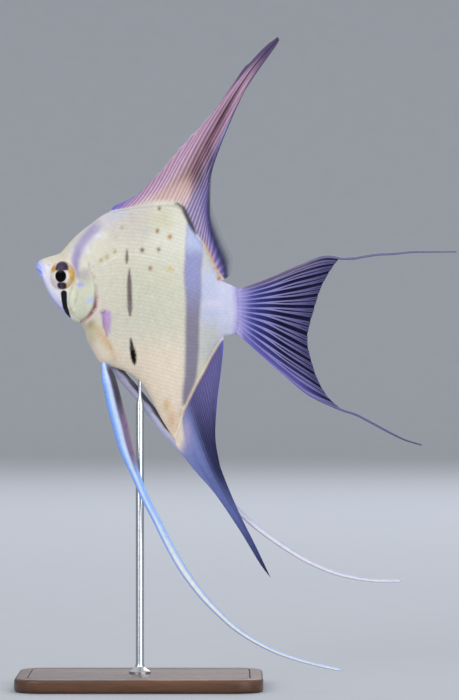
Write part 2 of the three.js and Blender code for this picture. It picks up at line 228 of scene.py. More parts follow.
def relief(x, z):
    """How far the bones and folds of the head and the roots of the paired fins stand out."""
    out = np.zeros(np.shape(x))
    near = x < 46
    x, z = x[near], z[near]
    gap, share = nearest(GILL_CURVE, x, z)
    ends = smooth(0, 0.12, share) * (1 - 0.7 * smooth(0.68, 0.84, share)) * smooth(1, 0.9, share)
    lift = (0.62 * smooth(-9, -0.8, gap) * smooth(0.4, -0.5, gap) - 0.45 * bump(gap - 0.8, 0.7)) * ends
    gap, share = nearest(CHEEK_BONE, x, z)
    ends = smooth(0, 0.15, share) * smooth(1, 0.85, share)
    lift += (0.3 * bump(gap + 0.5, 0.8) - 0.26 * bump(gap - 0.5, 0.5)) * ends
    gap, share = nearest(LIP_FOLD, x, z)
    lift += (0.22 * bump(gap + 0.6, 0.6) - 0.22 * bump(gap - 0.2, 0.4)) * smooth(1, 0.8, share)
    gap = off(MOUTH, x, z)
    lift += (0.3 * bump(np.abs(gap) - 0.85, 0.5) - 0.75 * bump(gap, 0.3)) * smooth(4.4, 3.2, x)
    for line, height, width in (
        (CHEEK_RIDGE, 0.25, 0.8),
        (SHOULDER, 0.22, 1.1),
        (THROAT_FOLD, -0.2, 0.45),
        (LORE_FOLD, -0.18, 0.6),
    ):
        lift += height * bump(off(line, x, z), width)
    for centre, height, radii in (
        ((17.2, -15), 0.5, (4.5, 4.5)),  # the round of the cheek
        (NOSTRIL, -0.3, (0.55, 0.42)),
        ((34.8, -26.5), 0.5, (2.2, 5.6)),  # root of the pectoral fin
        ((35.6, -43.5), 0.7, (3.2, 4.2)),  # root of the pelvic fin
    ):
        lift += height * spot(x, z, centre, radii)
    far = oval(x, z, EYE_CENTRE, SOCKET)
    lift += 0.14 * bump(far - 1.1, 0.09) - 3.4 * smooth(0.96, 0.74, far)
    out[near] = lift
    return out


def body_point(x, turn, side):
    """The body form at a station, turned up from the side in radians; past 90 degrees a turn crosses
    over to the other side."""
    spine = profile(SPINE_LINE, x)
    up = np.sin(turn)
    reach = np.where(up > 0, profile(BACK_LINE, x) - spine, spine - profile(BELLY_LINE, x))
    z = spine + up * reach
    flat = np.cos(turn)
    width = HALF_WIDTH * profile(WIDTH_LINE, x)
    out = np.sign(flat) * np.abs(flat) ** profile(KEEL_SHARPNESS, x) * width
    out = out + relief(x, z) * np.clip(3 * flat, -1, 1) * smooth(0, 1, x)
    gape = 0.5 * bump(z + 0.3, 0.4) * bump(x, 1.2)
    return np.stack([x + gape, side * out, z], -1)


def skin_at(x, turn, side, rise=0.0):
    """Points on the skin, or some way above it."""
    reach_x, reach_turn = 0.06, 0.012
    along = body_point(x + reach_x, turn, side) - body_point(x - reach_x, turn, side)
    around = body_point(x, turn + reach_turn, side) - body_point(x, turn - reach_turn, side)
    facing = np.cross(along, around) * -np.asarray(side)[..., None]
    length = np.linalg.norm(facing, axis=-1, keepdims=True)
    ends = np.where(x < BODY_END / 2, -1.0, 1.0)[..., None] * np.array([1.0, 0, 0])
    facing = np.where(length > 1e-9, facing / np.maximum(length, 1e-12), ends)
    return body_point(x, turn, side) + facing * np.asarray(rise - COAT_DEPTH)[..., None]


def girth_tables():
    """For stations along the body, the length of skin from the side to the back and to the belly, and
    the turns that lie at equal lengths of skin."""
    stations = np.linspace(0, BODY_END, 203)
    shares = np.linspace(0, 1, 91)
    lengths = {}
    turns = {}
    for way in (1, -1):
        x, turn = np.meshgrid(stations, way * shares * math.pi / 2, indexing="ij")
        passed = np.array([passed_along(row) for row in body_point(x, turn, -1.0)])
        lengths[way] = passed[:, -1]
        share = passed / np.maximum(passed[:, -1:], 1e-6)
        turns[way] = np.array([np.interp(shares, *row) for row in zip(share, turn)])
    return stations, lengths, turns


STATIONS, GIRTH, TURNS = girth_tables()


def turn_at(x, length):
    """The turn at a length of skin up (or, below 0, down) from the middle of the side."""
    turn = np.zeros(np.shape(x))
    at = np.clip(x / BODY_END * (len(STATIONS) - 1), 0, len(STATIONS) - 1.001)
    i = at.astype(int)
    mix = at - i
    for way in (1, -1):
        whole = np.maximum(GIRTH[way][i] * (1 - mix) + GIRTH[way][i + 1] * mix, 1e-6)
        share = length * way / whole
        over = share > 1
        share = np.clip(np.where(over, 2 - share, share), 0, 1)
        table = TURNS[way]
        column = share * (table.shape[1] - 1.001)
        j = column.astype(int)
        part = column - j
        low = table[i, j] * (1 - part) + table[i, j + 1] * part
        high = table[i + 1, j] * (1 - part) + table[i + 1, j + 1] * part
        found = low * (1 - mix) + high * mix
        found = np.where(over, way * math.pi - found, found)
        turn = np.where(length * way >= 0, found, turn)
    return turn


# ---------------------------------------------------------------- markings of skin and scales

LAVENDER_BAND = [
    (34.8, 24.4), (28.6, 18.4), (24.4, 13.8), (21.6, 9.4), (20.1, 4.3), (20.2, -0.4), (21.4, -4),
]
EYE_BAR = [(14.4, -12.5), (14.6, -16.4), (15, -19.2), (16.2, -22.2), (17.2, -24)]
FIRST_BAR_TOP = [(45.1, 8.8), (45, 2.4)]
FIRST_BAR = [(46.2, -0.6), (46.4, -12), (46.6, -23.2)]
TEARDROP = [(46.8, -34.4), (47.9, -41), (48.7, -46.9)]
TEARDROP_WIDTHS = [(0, 0.3), (0.2, 0.8), (0.4, 1.2), (0.65, 1.45), (0.9, 1), (1, 0.5)]
SECOND_BAR = [
    (77.4, 20), (77.6, 6), (76.9, -2), (77.4, -14), (76.9, -26), (76.8, -40), (76, -53), (74, -60.5),
    (72.8, -66),
]
SECOND_BAR_WIDTHS = [
    (0, 3), (0.17, 4), (0.3, 3.9), (0.45, 3.5), (0.7, 3.3), (0.84, 2.9), (0.93, 2), (1, 0.8),
]
BREAST_FOLD = [(30.4, -29), (33, -34), (36.4, -38.4), (39, -44)]
LATERAL_LINE = [(34.1, 1.7), (41, 6.1), (49.8, 6.3), (62.9, 3.9), (69.8, -1.5)]
BACK_STREAK = [(68.3, 32), (72.2, 29.5), (75.4, 22.7), (78.4, 16.8)]
BACK_SEAM = [(75.6, 26.8), (79.5, 20), (82.6, 12.4), (85.4, 6.1), (88.3, -0.8), (91, -5.6)]
BELLY_SEAM = [(71.4, -72), (75.4, -63.4), (78.5, -57.1), (82, -51.6), (85.9, -43.4), (90.7, -35.2)]
SPOTS = [  # place, half width, colour
    ((60.7, 29), 0.8, "8f5a48"), ((42.6, 19.5), 0.75, "b3a58c"), ((59.8, 18), 0.9, "96703a"),
    ((65.9, 15.1), 1.1, "b8893f"), ((52.5, 8.6), 0.95, "7d5a30"), ((60.5, 8.9), 0.9, "9c7868"),
    ((56.4, -0.3), 0.95, "a07a70"), ((66.1, -0.8), 1.3, "dcc68e"), ((39.2, 7.8), 0.8, "bba878"),
    ((32.5, 3.6), 0.9, "b9ab7c"), ((35.4, 5.2), 1.1, "c4b98c"), ((89.6, -5.2), 0.9, "b98a52"),
]


def painted(colour, strokes):
    """Colours with strokes over them in order, each a colour and how much of it lies at each place."""
    for other, amount in strokes:
        other = linear(other) if isinstance(other, str) else np.array(other)
        colour = colour + (other - colour) * np.clip(amount, 0, 1)[..., None]
    return colour


def head_strokes(x, z):
    """The colours of the head, which go over those of the body."""
    dot = functools.partial(spot, x, z)
    streak = functools.partial(stripe, x, z)
    gap, share = nearest(GILL_CURVE, x, z)
    ahead = smooth(1, -1, gap + 6 * smooth(0.1, 0, share))
    below = z - profile(BELLY_LINE, x)
    front = smooth(22, 15, x - 0.35 * np.maximum(z - 2, 0))
    cheek = ahead * smooth(15.5, 17.5, x) * smooth(-4, -7, z) * smooth(1, 3, below)
    under = smooth(20, 13, x) * front
    snout = smooth(6.5, 1.5, x + 0.3 * np.abs(z + 1))
    band = streak(LAVENDER_BAND, [(0, 2.6), (0.4, 2.2), (0.75, 1.7), (1, 0.8)], 1.5)
    halo = streak(LAVENDER_BAND, [(0, 5), (0.5, 4.4), (1, 1.4)], 2.5)
    along = nearest(LAVENDER_BAND, x, z)[1]
    seam = smooth(0, 0.06, share) * smooth(1, 0.95, share)
    blush = seam * smooth(-10, -19, z) * (1 - 0.6 * smooth(0.74, 0.9, share))
    lids = oval(x, z, EYE_CENTRE, SOCKET)
    return [
        ("d2cbb9", 0.85 * front * smooth(-3, 4, z)),
        # Partly the chin's pale lavender, partly painted light that fills the shade under the
        # downward-facing snout.
        ("e9e7f8", 0.95 * front * smooth(4, -3, z + 0.3 * (x - 9))),
        ("d9dcc4", 0.95 * cheek),
        ("b9b1b4", 0.8 * dot((24.4, -3), (3.2, 4.6)) * ahead),
        ("f2ead2", 0.8 * streak(CHEEK_RIDGE, [(0, 0.3), (1, 0.8)], 0.9)),
        ("b3ae86", 0.5 * streak([(18.6, -9.6), (17, -14), (16.6, -17)], [(0, 0.4), (1, 0.2)], 0.5)),
        ("bdb78c", 0.5 * streak([(21.4, -11), (20.8, -14.4), (20, -16.6)], [(0, 0.3), (1, 0.4)], 0.8)),
        ("d9bcae", 0.6 * streak([(17.2, -18.6), (18.6, -22)], [(0, 0.4), (1, 0.6)], 0.7)),
        ("babef2", 0.7 * under * smooth(6, 1.6, below)),
        ("97a2ea", 0.8 * under * smooth(2.6, 0.6, below)),
        ("9aa8fa", 0.95 * snout),
        ("7f86cf", 0.5 * bump(off(MOUTH, x, z), 0.35) * smooth(4, 3, x)),
        ("a8a2bc", 0.35 * dot(NOSTRIL, (0.5, 0.4))),
        ("c9c6d6", 0.55 * halo * smooth(-2, 3, z)),
        ("a198c0", 0.85 * band * smooth(0, 0.3, along)),
        # Partly the band's deeper colour lower down, partly painted shade where the light falls brightest
        # on the forehead.
        ("8e84b0", 0.6 * band * smooth(0.5, 0.7, along) * smooth(1, 0.85, along)),
        # Painted highlights: bluish-white glints on the forehead behind the lavender band.
        ("e2e4f2", 0.5 * dot((26.2, 8.6), (0.9, 2))),
        ("e2e4f2", 0.5 * dot((28.2, 2), (1.3, 0.9))),
        ("e2e4f2", 0.5 * dot((31.6, 15.4), (3, 1.2))),
        ("e3d0d0", 0.65 * bump(gap - 1.9, 0.9) * smooth(0.25, 0.6, share)),
        ("a08a7c", (0.45 + 0.3 * smooth(0.4, 0.6, share)) * seam * bump(gap - 0.35, 0.45)),
        ("8a424c", 0.95 * blush * bump(gap - 0.2, 1)),
        ("8b8dff", 0.95 * dot((22.4, -8.2), (1.3, 1.1))),
        ("b3c8ff", 0.8 * dot((27.2, -16), (1.8, 1.4))),
        ("e9dccb", 0.5 * bump(lids - 1.08, 0.08)),
        ("c09a54", 0.8 * bump(lids - 1.02, 0.16) * dot((19.2, -4.4), (4, 5))),
        ("a08f92", 0.3 * smooth(0.98, 0.86, lids)),
        ("040305", streak(EYE_BAR, [(0, 1.55), (0.4, 1.3), (0.7, 1.1), (1, 0.35)], 0.25)),
    ]


def back_streak(x, z):
    """The dark streak down the rear of the back, on the body and on the root of the dorsal fin."""
    return "1c2038", 0.92 * stripe(x, z, BACK_STREAK, [(0, 0.3), (0.4, 1), (0.75, 1), (1, 0.4)], 0.8)


def markings(x, z, settings):
    """The colours of the skin and of the scales at places on the side of the fish."""
    dot = functools.partial(spot, x, z)
    streak = functools.partial(stripe, x, z)
    back = profile(BACK_LINE, x) - z
    dashes = 0.55 + 0.45 * np.sin(90 * nearest(LATERAL_LINE, x, z)[1])
    rear_bar = streak(SECOND_BAR, SECOND_BAR_WIDTHS, 1.1)
    return painted(np.array(settings.flank_colour), [
        ("cfcfb6", 0.5 * dot((55, -14), (20, 22))),
        ("e6e6da", 0.7 * dot((66, 16), (12, 12))),
        ("ecdcc6", 0.9 * smooth(-26, -48, z) * smooth(76, 70, x)),
        # Painted sheen: a bluish-white glint on the nape.
        ("c6d2ea", 0.75 * dot((41, 27), (6, 3.2))),
        ("d8c3bd", 0.5 * dot((48, 24), (2.5, 4))),
        ("c3c5c6", 0.8 * smooth(79, 82, x) * smooth(-50, -40, z)),
        ("c3c9e6", 0.85 * smooth(79, 83, x) * smooth(-32, -22, z) * smooth(4, -6, z)),
        ("cfd0e6", 0.8 * smooth(87, 92, x)),
        ("e4d8e8", 0.6 * dot((86, -17.5), (5, 2))),
        ("a89fd8", 0.9 * smooth(96, 100, x + 0.12 * np.abs(z + 21))),
        ("dbb68c", 0.8 * streak(BREAST_FOLD, [(0, 1), (0.4, 1.5), (1, 0.6)], 2.2)),
        ("c99c74", 0.6 * streak([(34.6, -33.6), (37.6, -39.6)], [(0, 0.2), (1, 0.5)], 0.6)),
        ("a99c68", 0.85 * dot((27.2, -27.4), (2.4, 3.6))),
        ("c3b48c", 0.6 * dot((28.2, -33.4), (2.2, 4))),
        ("c9bdd2", 0.7 * streak([(25.4, -35.4), (29.6, -43.6)], [(0, 0.6), (1, 0.6)], 0.9)),
        # Partly the upper flank's own grey and olive tone, partly painted shade that darkens the top of
        # the flank where the light from above falls brightest.
        ("c0b9b6", 0.45 * smooth(8, 20, z) * smooth(34, 38, x) * smooth(60, 54, x)),
        ("c3c094", 0.5 * dot((62, 23), (6, 6))),
        ("d8ae66", 0.75 * dot((64.2, -67), (1.6, 2.8))),
        ("dcb088", 0.7 * dot((67, -74), (2.2, 5.5))),
        *head_strokes(x, z),
        ("c39cd2", 0.9 * streak([(35, -22.9), (36.3, -31.6)], [(0, 2.5), (0.5, 1.7), (1, 0.4)], 1.1)),
        ("b5708f", 0.7 * streak([(33.4, -25.4), (35.4, -33)], [(0, 0.2), (1, 0.5)], 0.5)),
        ("65304f", 0.9 * dot((33.4, -21.6), (1, 0.9))),
        ("f6f5f0", 0.6 * streak(LATERAL_LINE, [(0, 0.3), (1, 0.25)], 0.4) * dashes),
        (settings.bar_colour, 0.92 * rear_bar),
        ("9a9dcc", 0.85 * rear_bar * smooth(-28, -4, z)),
        ("c2cbe8", 0.85 * rear_bar * smooth(4, 13, z)),
        ("d3a06e", 0.8 * streak(BACK_SEAM, [(0, 0.6), (1, 0.5)], 0.5)),
        ("dcb894", 0.6 * streak(BELLY_SEAM, [(0, 0.5), (1, 0.4)], 0.5)),
        # Partly the pale line along the dorsal root, partly painted light that offsets the shade in the
        # crease where the fin meets the body.
        ("e4e0e4", 0.3 * bump(back - 0.9, 0.8) * smooth(38, 43, x) * smooth(68, 65, x)),
        back_streak(x, z),
        ("5f4238", 0.8 * streak(FIRST_BAR_TOP, [(0, 0.35), (0.7, 0.8), (1, 0.5)], 0.45)),
        ("574149", 0.85 * streak(FIRST_BAR, [(0, 0.3), (0.3, 1.1), (0.8, 1.2), (1, 0.5)], 0.5)),
        ("070405", streak(TEARDROP, TEARDROP_WIDTHS, 0.35)),
        *[(colour, 1.1 * bump(oval(x, z, place, (half, half * 1.25)), 0.95))
          for place, half, colour in SPOTS],
    ])


# ---------------------------------------------------------------- meshes

MERGED = 1e-6  # points nearer than this are one, in metres


def coordinates(mesh):
    """The places of a mesh's vertices, one row each."""
    points = np.zeros(len(mesh.vertices) * 3)
    mesh.vertices.foreach_get("co", points)
    return points.reshape(-1, 3)


def rework(mesh, change):
    """Lets change() edit a mesh as a bmesh."""
    bm = bmesh.new()
    bm.from_mesh(mesh)
    change(bm)
    bm.to_mesh(mesh)
    bm.free()
    return mesh


def new_mesh(name, build):
    """A mesh of the bmesh that build() fills."""
    return rework(bpy.data.meshes.new(name), build)


def face_outwards(bm):
    """Turns a closed bmesh's faces so that they point out."""
    bmesh.ops.recalc_face_normals(bm, faces=bm.faces)


def store(mesh, name, values):
    """Keeps a number or a colour for each vertex under a name that the materials read."""
    values = np.asarray(values, np.float32)
    if values.ndim == 1:
        mesh.attributes.new(name, "FLOAT", "POINT").data.foreach_set("value", values)
        return
    colours = np.ones((len(values), 4), np.float32)
    colours[:, :3] = np.clip(values, 0, 1)
    mesh.attributes.new(name, "FLOAT_COLOR", "POINT").data.foreach_set("color", colours.ravel())


def in_scene(name, data):
    """An object put in the scene."""
    made = bpy.data.objects.new(name, data)
    bpy.context.scene.collection.objects.link(made)
    return made


def piece(name, mesh, material, nodes):
    """An object of the fish or the stand, which rides with the model and stands for CAD nodes."""
    made = in_scene(name, mesh)
    mesh.materials.append(material)
    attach(made, "root")
    if nodes:
        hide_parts(*nodes)


def formed(name, build, shape, material, nodes):
    """A closed piece: build() gives its bmesh, and shape() moves the vertices and colours them."""
    mesh = new_mesh(name, build)
    points, marks = shape(coordinates(mesh))
    mesh.vertices.foreach_set("co", on_the_stand(points).ravel())
    rework(mesh, face_outwards)
    mesh.shade_smooth()
    for mark, values in marks.items():
        store(mesh, mark, values)
    piece(name, mesh, material, nodes)


def ball(around, along):
    """Fills a bmesh with a ball of radius 1, its poles on Z."""
    return lambda bm: bmesh.ops.create_uvsphere(bm, u_segments=around, v_segments=along, radius=1)


def slab(across, along):
    """Fills a bmesh with a closed slab, -1 to 1 in X and Y and 0 to 1 in Z, split in X and Y."""
    def build(bm):
        bmesh.ops.create_grid(bm, x_segments=across, y_segments=along, size=1)
        raised = bmesh.ops.extrude_face_region(bm, geom=bm.faces[:] + bm.edges[:] + bm.verts[:])
        moved = [v for v in raised["geom"] if isinstance(v, bmesh.types.BMVert)]
        bmesh.ops.translate(bm, verts=moved, vec=(0, 0, 1))
    return build


def turned(outline, steps):
    """Fills a bmesh with an outline of (radius, height) points turned round Z."""
    def build(bm):
        verts = [bm.verts.new((radius, 0, height)) for radius, height in outline]
        edges = [bm.edges.new(pair) for pair in zip(verts[:-1], verts[1:])]
        bmesh.ops.spin(bm, geom=verts + edges, axis=(0, 0, 1), cent=(0, 0, 0), steps=steps,
                       angle=2 * math.pi, use_merge=True)
        bmesh.ops.remove_doubles(bm, verts=bm.verts, dist=MERGED)
    return build


# ---------------------------------------------------------------- materials

NOISE_LOW = 0.3  # most of a noise lies between these
NOISE_HIGH = 0.7


def add_node(tree, kind, inputs=None, **settings):
    """Adds a node with its settings. Each of its inputs is given a value, or linked to a socket or to
    the first output of a node."""
    node = tree.nodes.new("ShaderNode" + kind)
    for name, value in settings.items():
        setattr(node, name, value)
    for name, value in (inputs or {}).items():
        if isinstance(value, bpy.types.Node):
            value = value.outputs[0]
        if isinstance(value, bpy.types.NodeSocket):
            tree.links.new(value, node.inputs[name])
        else:
            node.inputs[name].default_value = value
    return node


def speckled(add, places, size, detail, *spans, roughness=0.55):
    """A noise with specks of a size in metres, and the same noise spread over each of the spans."""
    inputs = {"Vector": places, "Scale": 1 / size, "Detail": detail, "Roughness": roughness}
    noise = add("TexNoise", inputs)
    spread = {"Value": noise, "From Min": NOISE_LOW, "From Max": NOISE_HIGH}
    return noise, *[add("MapRange", {**spread, "To Min": low, "To Max": high}) for low, high in spans]


def material_of(finish, *values):
    name = finish.__name__
    if name in bpy.data.materials:
        return bpy.data.materials[name]
    material = bpy.data.materials.new(name)
    material.use_nodes = True
    tree = material.node_tree
    tree.nodes.clear()
    add = functools.partial(add_node, tree)
    colour, light, inputs = finish(add, add("TexCoord").outputs["Object"], *values)
    painted_colour = add("HueSaturation", {"Color": colour, "Value": light})
    shader = add("BsdfPrincipled", {"Base Color": painted_colour, **inputs})
    add("OutputMaterial", {"Surface": shader}, target="ALL")
    return material


def lacquered_skin(add, places):
    """Cast resin painted by airbrush and lacquered, as fish models are. The eye sees a satin skin with
    soft edges between its colours, a fine mottle of pigment specks and a thin wet gloss on top."""
    paint = add("Attribute", attribute_name="paint")
    mottle, light, gloss = speckled(add, places, 0.0011, 3, (0.95, 1.04), (0.3, 0.46))
    specks, = speckled(add, places, 0.00035, 1)
    fine = add("Bump", {"Height": specks, "Distance": 0.00003, "Strength": 0.6})
    coarse = add("Bump", {"Height": mottle, "Distance": 0.00008, "Strength": 0.5, "Normal": fine})
    return paint, light, {
        "Roughness": gloss, "Normal": coarse, "IOR": 1.5, "Specular IOR Level": 0.16,
        "Coat Weight": 0.2, "Coat Roughness": 0.12,
    }


def pearl_scales(add, places):
    """Thin scales with a silver layer behind the paint, lacquered. Each scale has fine growth rings, and
    the soft pearly glint along the middle of each row is a painted highlight in the scales' colour."""
    paint = add("Attribute", attribute_name="paint")
    ring = add("Attribute", attribute_name="ring").outputs["Fac"]
    _, light, gloss = speckled(add, places, 0.0016, 3, (0.97, 1.03), (0.3, 0.42))
    rings = add("Math", {0: ring, 1: 40}, operation="MULTIPLY")
    ridges = add("Math", {0: rings}, operation="SINE")
    raised = add("Bump", {"Height": ridges, "Distance": 0.00001, "Strength": 0.1})
    return paint, light, {
        "Roughness": gloss, "Normal": raised, "IOR": 1.5, "Specular IOR Level": 0.1, "Metallic": 0.03,
        "Coat Weight": 0.09, "Coat Roughness": 0.16,
    }


def tinted_fin_resin(add, places, opacity):
    """Fin rays with a thin web between them, cast in tinted clear resin. The rays are pale, jointed and
    opaque, and the web is smoky and lets some light through."""
    paint = add("Attribute", attribute_name="paint")
    ray, joint, solid = (
        add("Attribute", attribute_name=name).outputs["Fac"] for name in ("ray", "joint", "solid"))
    _, mottled, gloss = speckled(add, places, 0.0018, 3, (0.93, 1.06), (0.3, 0.44))
    turns = add("Math", {0: joint, 1: 2 * math.pi}, operation="MULTIPLY")
    wave = add("Math", {0: turns}, operation="SINE")
    beads = add("Math", {0: wave, 1: ray}, operation="MULTIPLY")
    beaded = add("MapRange", {"Value": beads, "From Min": -1, "To Min": 0.98, "To Max": 1.02})
    light = add("Math", {0: beaded, 1: mottled}, operation="MULTIPLY")
    raised = add("Bump", {"Height": beads, "Distance": 0.00003, "Strength": 0.25})
    clear = add("Math", {0: solid, 1: opacity}, operation="MULTIPLY", use_clamp=True)
    return paint, light, {
        "Roughness": gloss, "Normal": raised, "Alpha": clear, "IOR": 1.45, "Specular IOR Level": 0.1,
        "Coat Weight": 0.06, "Coat Roughness": 0.2,
    }


def lacquered_rays(add, places):
    """Long fin rays bound in skin, painted and lacquered: opaque and glossy, with fine lines along
    them."""
    paint = add("Attribute", attribute_name="paint")
    across = add("Attribute", attribute_name="across").outputs["Fac"]
    _, mottled, gloss = speckled(add, places, 0.002, 3, (0.94, 1.05), (0.24, 0.38))
    lines = add("Math", {0: across, 1: 16}, operation="MULTIPLY")
    wave = add("Math", {0: lines}, operation="SINE")
    lined = add("MapRange", {"Value": wave, "From Min": -1, "To Min": 0.95, "To Max": 1.05})
    light = add("Math", {0: lined, 1: mottled}, operation="MULTIPLY")
    raised = add("Bump", {"Height": wave, "Distance": 0.00005, "Strength": 0.7})
    return paint, light, {
        "Roughness": gloss, "Normal": raised, "IOR": 1.5, "Coat Weight": 0.4, "Coat Roughness": 0.12,
    }


def glass_eye(add, places):
    """A glass eye painted from behind: deep black pupil, golden iris with a silver sheen, and a
    polished clear front that takes a sharp highlight."""
    paint = add("Attribute", attribute_name="paint")
    gleam = add("Attribute", attribute_name="gleam").outputs["Fac"]
    _, light, gloss = speckled(add, places, 0.0004, 2, (0.96, 1.03), (0.2, 0.34))
    silver = add("Math", {0: gleam, 1: 0.25}, operation="MULTIPLY")
    return paint, light, {
        "Roughness": gloss, "Metallic": silver, "IOR": 1.5, "Specular IOR Level": 0.04,
        "Coat Weight": 0.12, "Coat Roughness": 0.03,
    }


def oiled_walnut(add, places, wood_colour):
    """Solid walnut, planed, sanded and oiled: straight dark grain along the base, short open pores
    and a low sheen."""
    grain = add("Mapping", {"Vector": places, "Scale": (0.12, 1, 1)})
    _, bands = speckled(add, grain, 0.009, 5, (0, 1), roughness=0.6)
    fibres, light, gloss = speckled(add, grain, 0.0009, 4, (0.72, 1.18), (0.5, 0.34), roughness=0.7)
    ramp = add("ValToRGB", {"Fac": bands})
    ramp.color_ramp.elements[0].color = (*linear("2b180e"), 1)
    ramp.color_ramp.elements[1].color = (*wood_colour, 1)
    raised = add("Bump", {"Height": fibres, "Distance": 0.00012, "Strength": 0.5})
    return ramp, light, {
        "Roughness": gloss, "Normal": raised, "IOR": 1.48, "Coat Weight": 0.15, "Coat Roughness": 0.3,
    }


def turned_steel(add, places):
    """Stainless bar turned and polished: bright, with faint tool marks round it."""
    along = add("Mapping", {"Vector": places, "Scale": (0.05, 0.05, 1)})
    marks, light, gloss = speckled(add, along, 0.0003, 2, (1, 1.15), (0.2, 0.27))
    raised = add("Bump", {"Height": marks, "Distance": 0.000004, "Strength": 0.15})
    return (*linear("c4c7ca"), 1), light, {"Roughness": gloss, "Normal": raised, "Metallic": 1}


def studio_paper(add, places, paper_colour):
    """A sweep of matt background paper, with a faint fleck of its fibres."""
    _, light = speckled(add, places, 0.02, 2, (0.99, 1.01))
    return (*paper_colour, 1), light, {"Roughness": 0.9, "Specular IOR Level": 0.2}


# ---------------------------------------------------------------- skin

SKINNED = ["head", "lower_jaw", "gill_cover_left", "gill_cover_right", "trunk", "tail_stem"]
RING_PLACES = [(0, 0), (0.03, 0.35), (0.68, 34), (0.97, 97.5), (1, BODY_END)]  # of the skin's rings


def add_skin(settings):
    """One closed skin over the head, the trunk and the tail stem."""
    def shape(points):
        share = np.arccos(np.clip(points[:, 2], -1, 1)) / math.pi
        x = profile(RING_PLACES, share)
        angle = np.arctan2(points[:, 1], points[:, 0])
        side = np.where(np.cos(angle) >= 0, -1.0, 1.0)
        turn = np.arcsin(np.clip(np.sin(angle), -1, 1))
        turn = turn - 0.25 * np.sin(2 * turn)  # closer together at the back and the belly
        placed = skin_at(x, turn, side)
        placed[(share < 1e-6) | (share > 1 - 1e-6), 1] = 0
        return placed, {"paint": markings(placed[:, 0], placed[:, 2], settings)}

    formed("skin", ball(300, 210), shape, material_of(lacquered_skin), SKINNED)


# ---------------------------------------------------------------- scales

ROW_SHARE = [(8, 0.48), (20, 0.56), (28, 0.7), (34, 0.84), (42, 1), (70, 1), (88, 0.8), (101, 0.62)]
SCALED_FROM = [
    (17, 14), (20.4, 7), (21.6, 0), (22, -5), (22.9, -9), (22.9, -14.5), (21.4, -19.6), (20.4, -23),
    (21, -27),
]
SCALED_TO = 98.6
PECTORAL_ROOT = ((34.6, -26.8), (1.9, 4.6))
THROAT = ((24.3, -24.6), (2.4, 2.2))
COLUMN_PITCH = 1.16  # from column to column, in heights of a row
JITTER = np.array([0.05, 0.03, 0.006, 0.012])  # of a scale's four numbers, in heights of a row
CHART_MARGIN = 0.02
CHART_SCALE = 0.0015  # half the side of one scale in the OFBake UV map


def scale_template():
    """A thin round scale: a domed top of 25 faces and one flat face beneath."""
    def build(bm):
        bmesh.ops.create_grid(bm, x_segments=5, y_segments=5, size=1)
        rim = [edge for edge in bm.edges if edge.is_boundary]
        for vert in bm.verts:
            p, q = vert.co.x, vert.co.y
            vert.co.x = p * math.sqrt(1 - q * q / 2)
            vert.co.y = q * math.sqrt(1 - p * p / 2)
        bmesh.ops.contextual_create(bm, geom=rim)
    return new_mesh("scale_template", build)


def bare(x, z):
    """Where the skin has no scales: snout, lids, the folds at the gill cover and the fin roots."""
    gill, share = nearest(GILL_CURVE, x, z)
    at_gill = (gill > -0.8 - smooth(0.7, 0.8, share)) & (gill < 0.7 + 0.9 * smooth(0.4, 0.6, share))
    at_gill &= share > 0.02
    bone, past = nearest(CHEEK_BONE, x, z)
    at_bone = (np.abs(bone) < 0.6) & (past > 0.02) & (past < 0.9)
    at_eye = oval(x, z, EYE_CENTRE, SOCKET) < 1.3
    at_ends = (off(SCALED_FROM, x, z) < 0) | (x > SCALED_TO)
    at_folds = (oval(x, z, *PECTORAL_ROOT) < 1) | (oval(x, z, *THROAT) < 1)
    return at_ends | at_folds | at_gill | at_bone | at_eye


def scale_places(row_pitch):
    """Roots of the scales on one side: station, length of skin from the middle of the side, slope of
    the row and height of the row there. The rows are staggered as slates are."""
    stations = np.linspace(8, 100.4, 1200)
    pitch = row_pitch * profile(ROW_SHARE, stations)
    count = np.concatenate([[0], np.cumsum(np.diff(stations) / (COLUMN_PITCH * pitch[1:]))])
    places = []
    for half_column in range(1, int(2 * count[-1])):
        x = np.interp(half_column / 2, count, stations)
        before, height, after = np.interp([x - 0.5, x, x + 0.5], stations, pitch)
        up = np.interp(x, STATIONS, GIRTH[1])
        down = np.interp(x, STATIONS, GIRTH[-1])
        for row in range(math.ceil(-down / height), int(up / height) + 1):
            if (row + half_column) % 2 == 0:
                places.append((x, row * height, row * (after - before), height))
    return np.array(places)


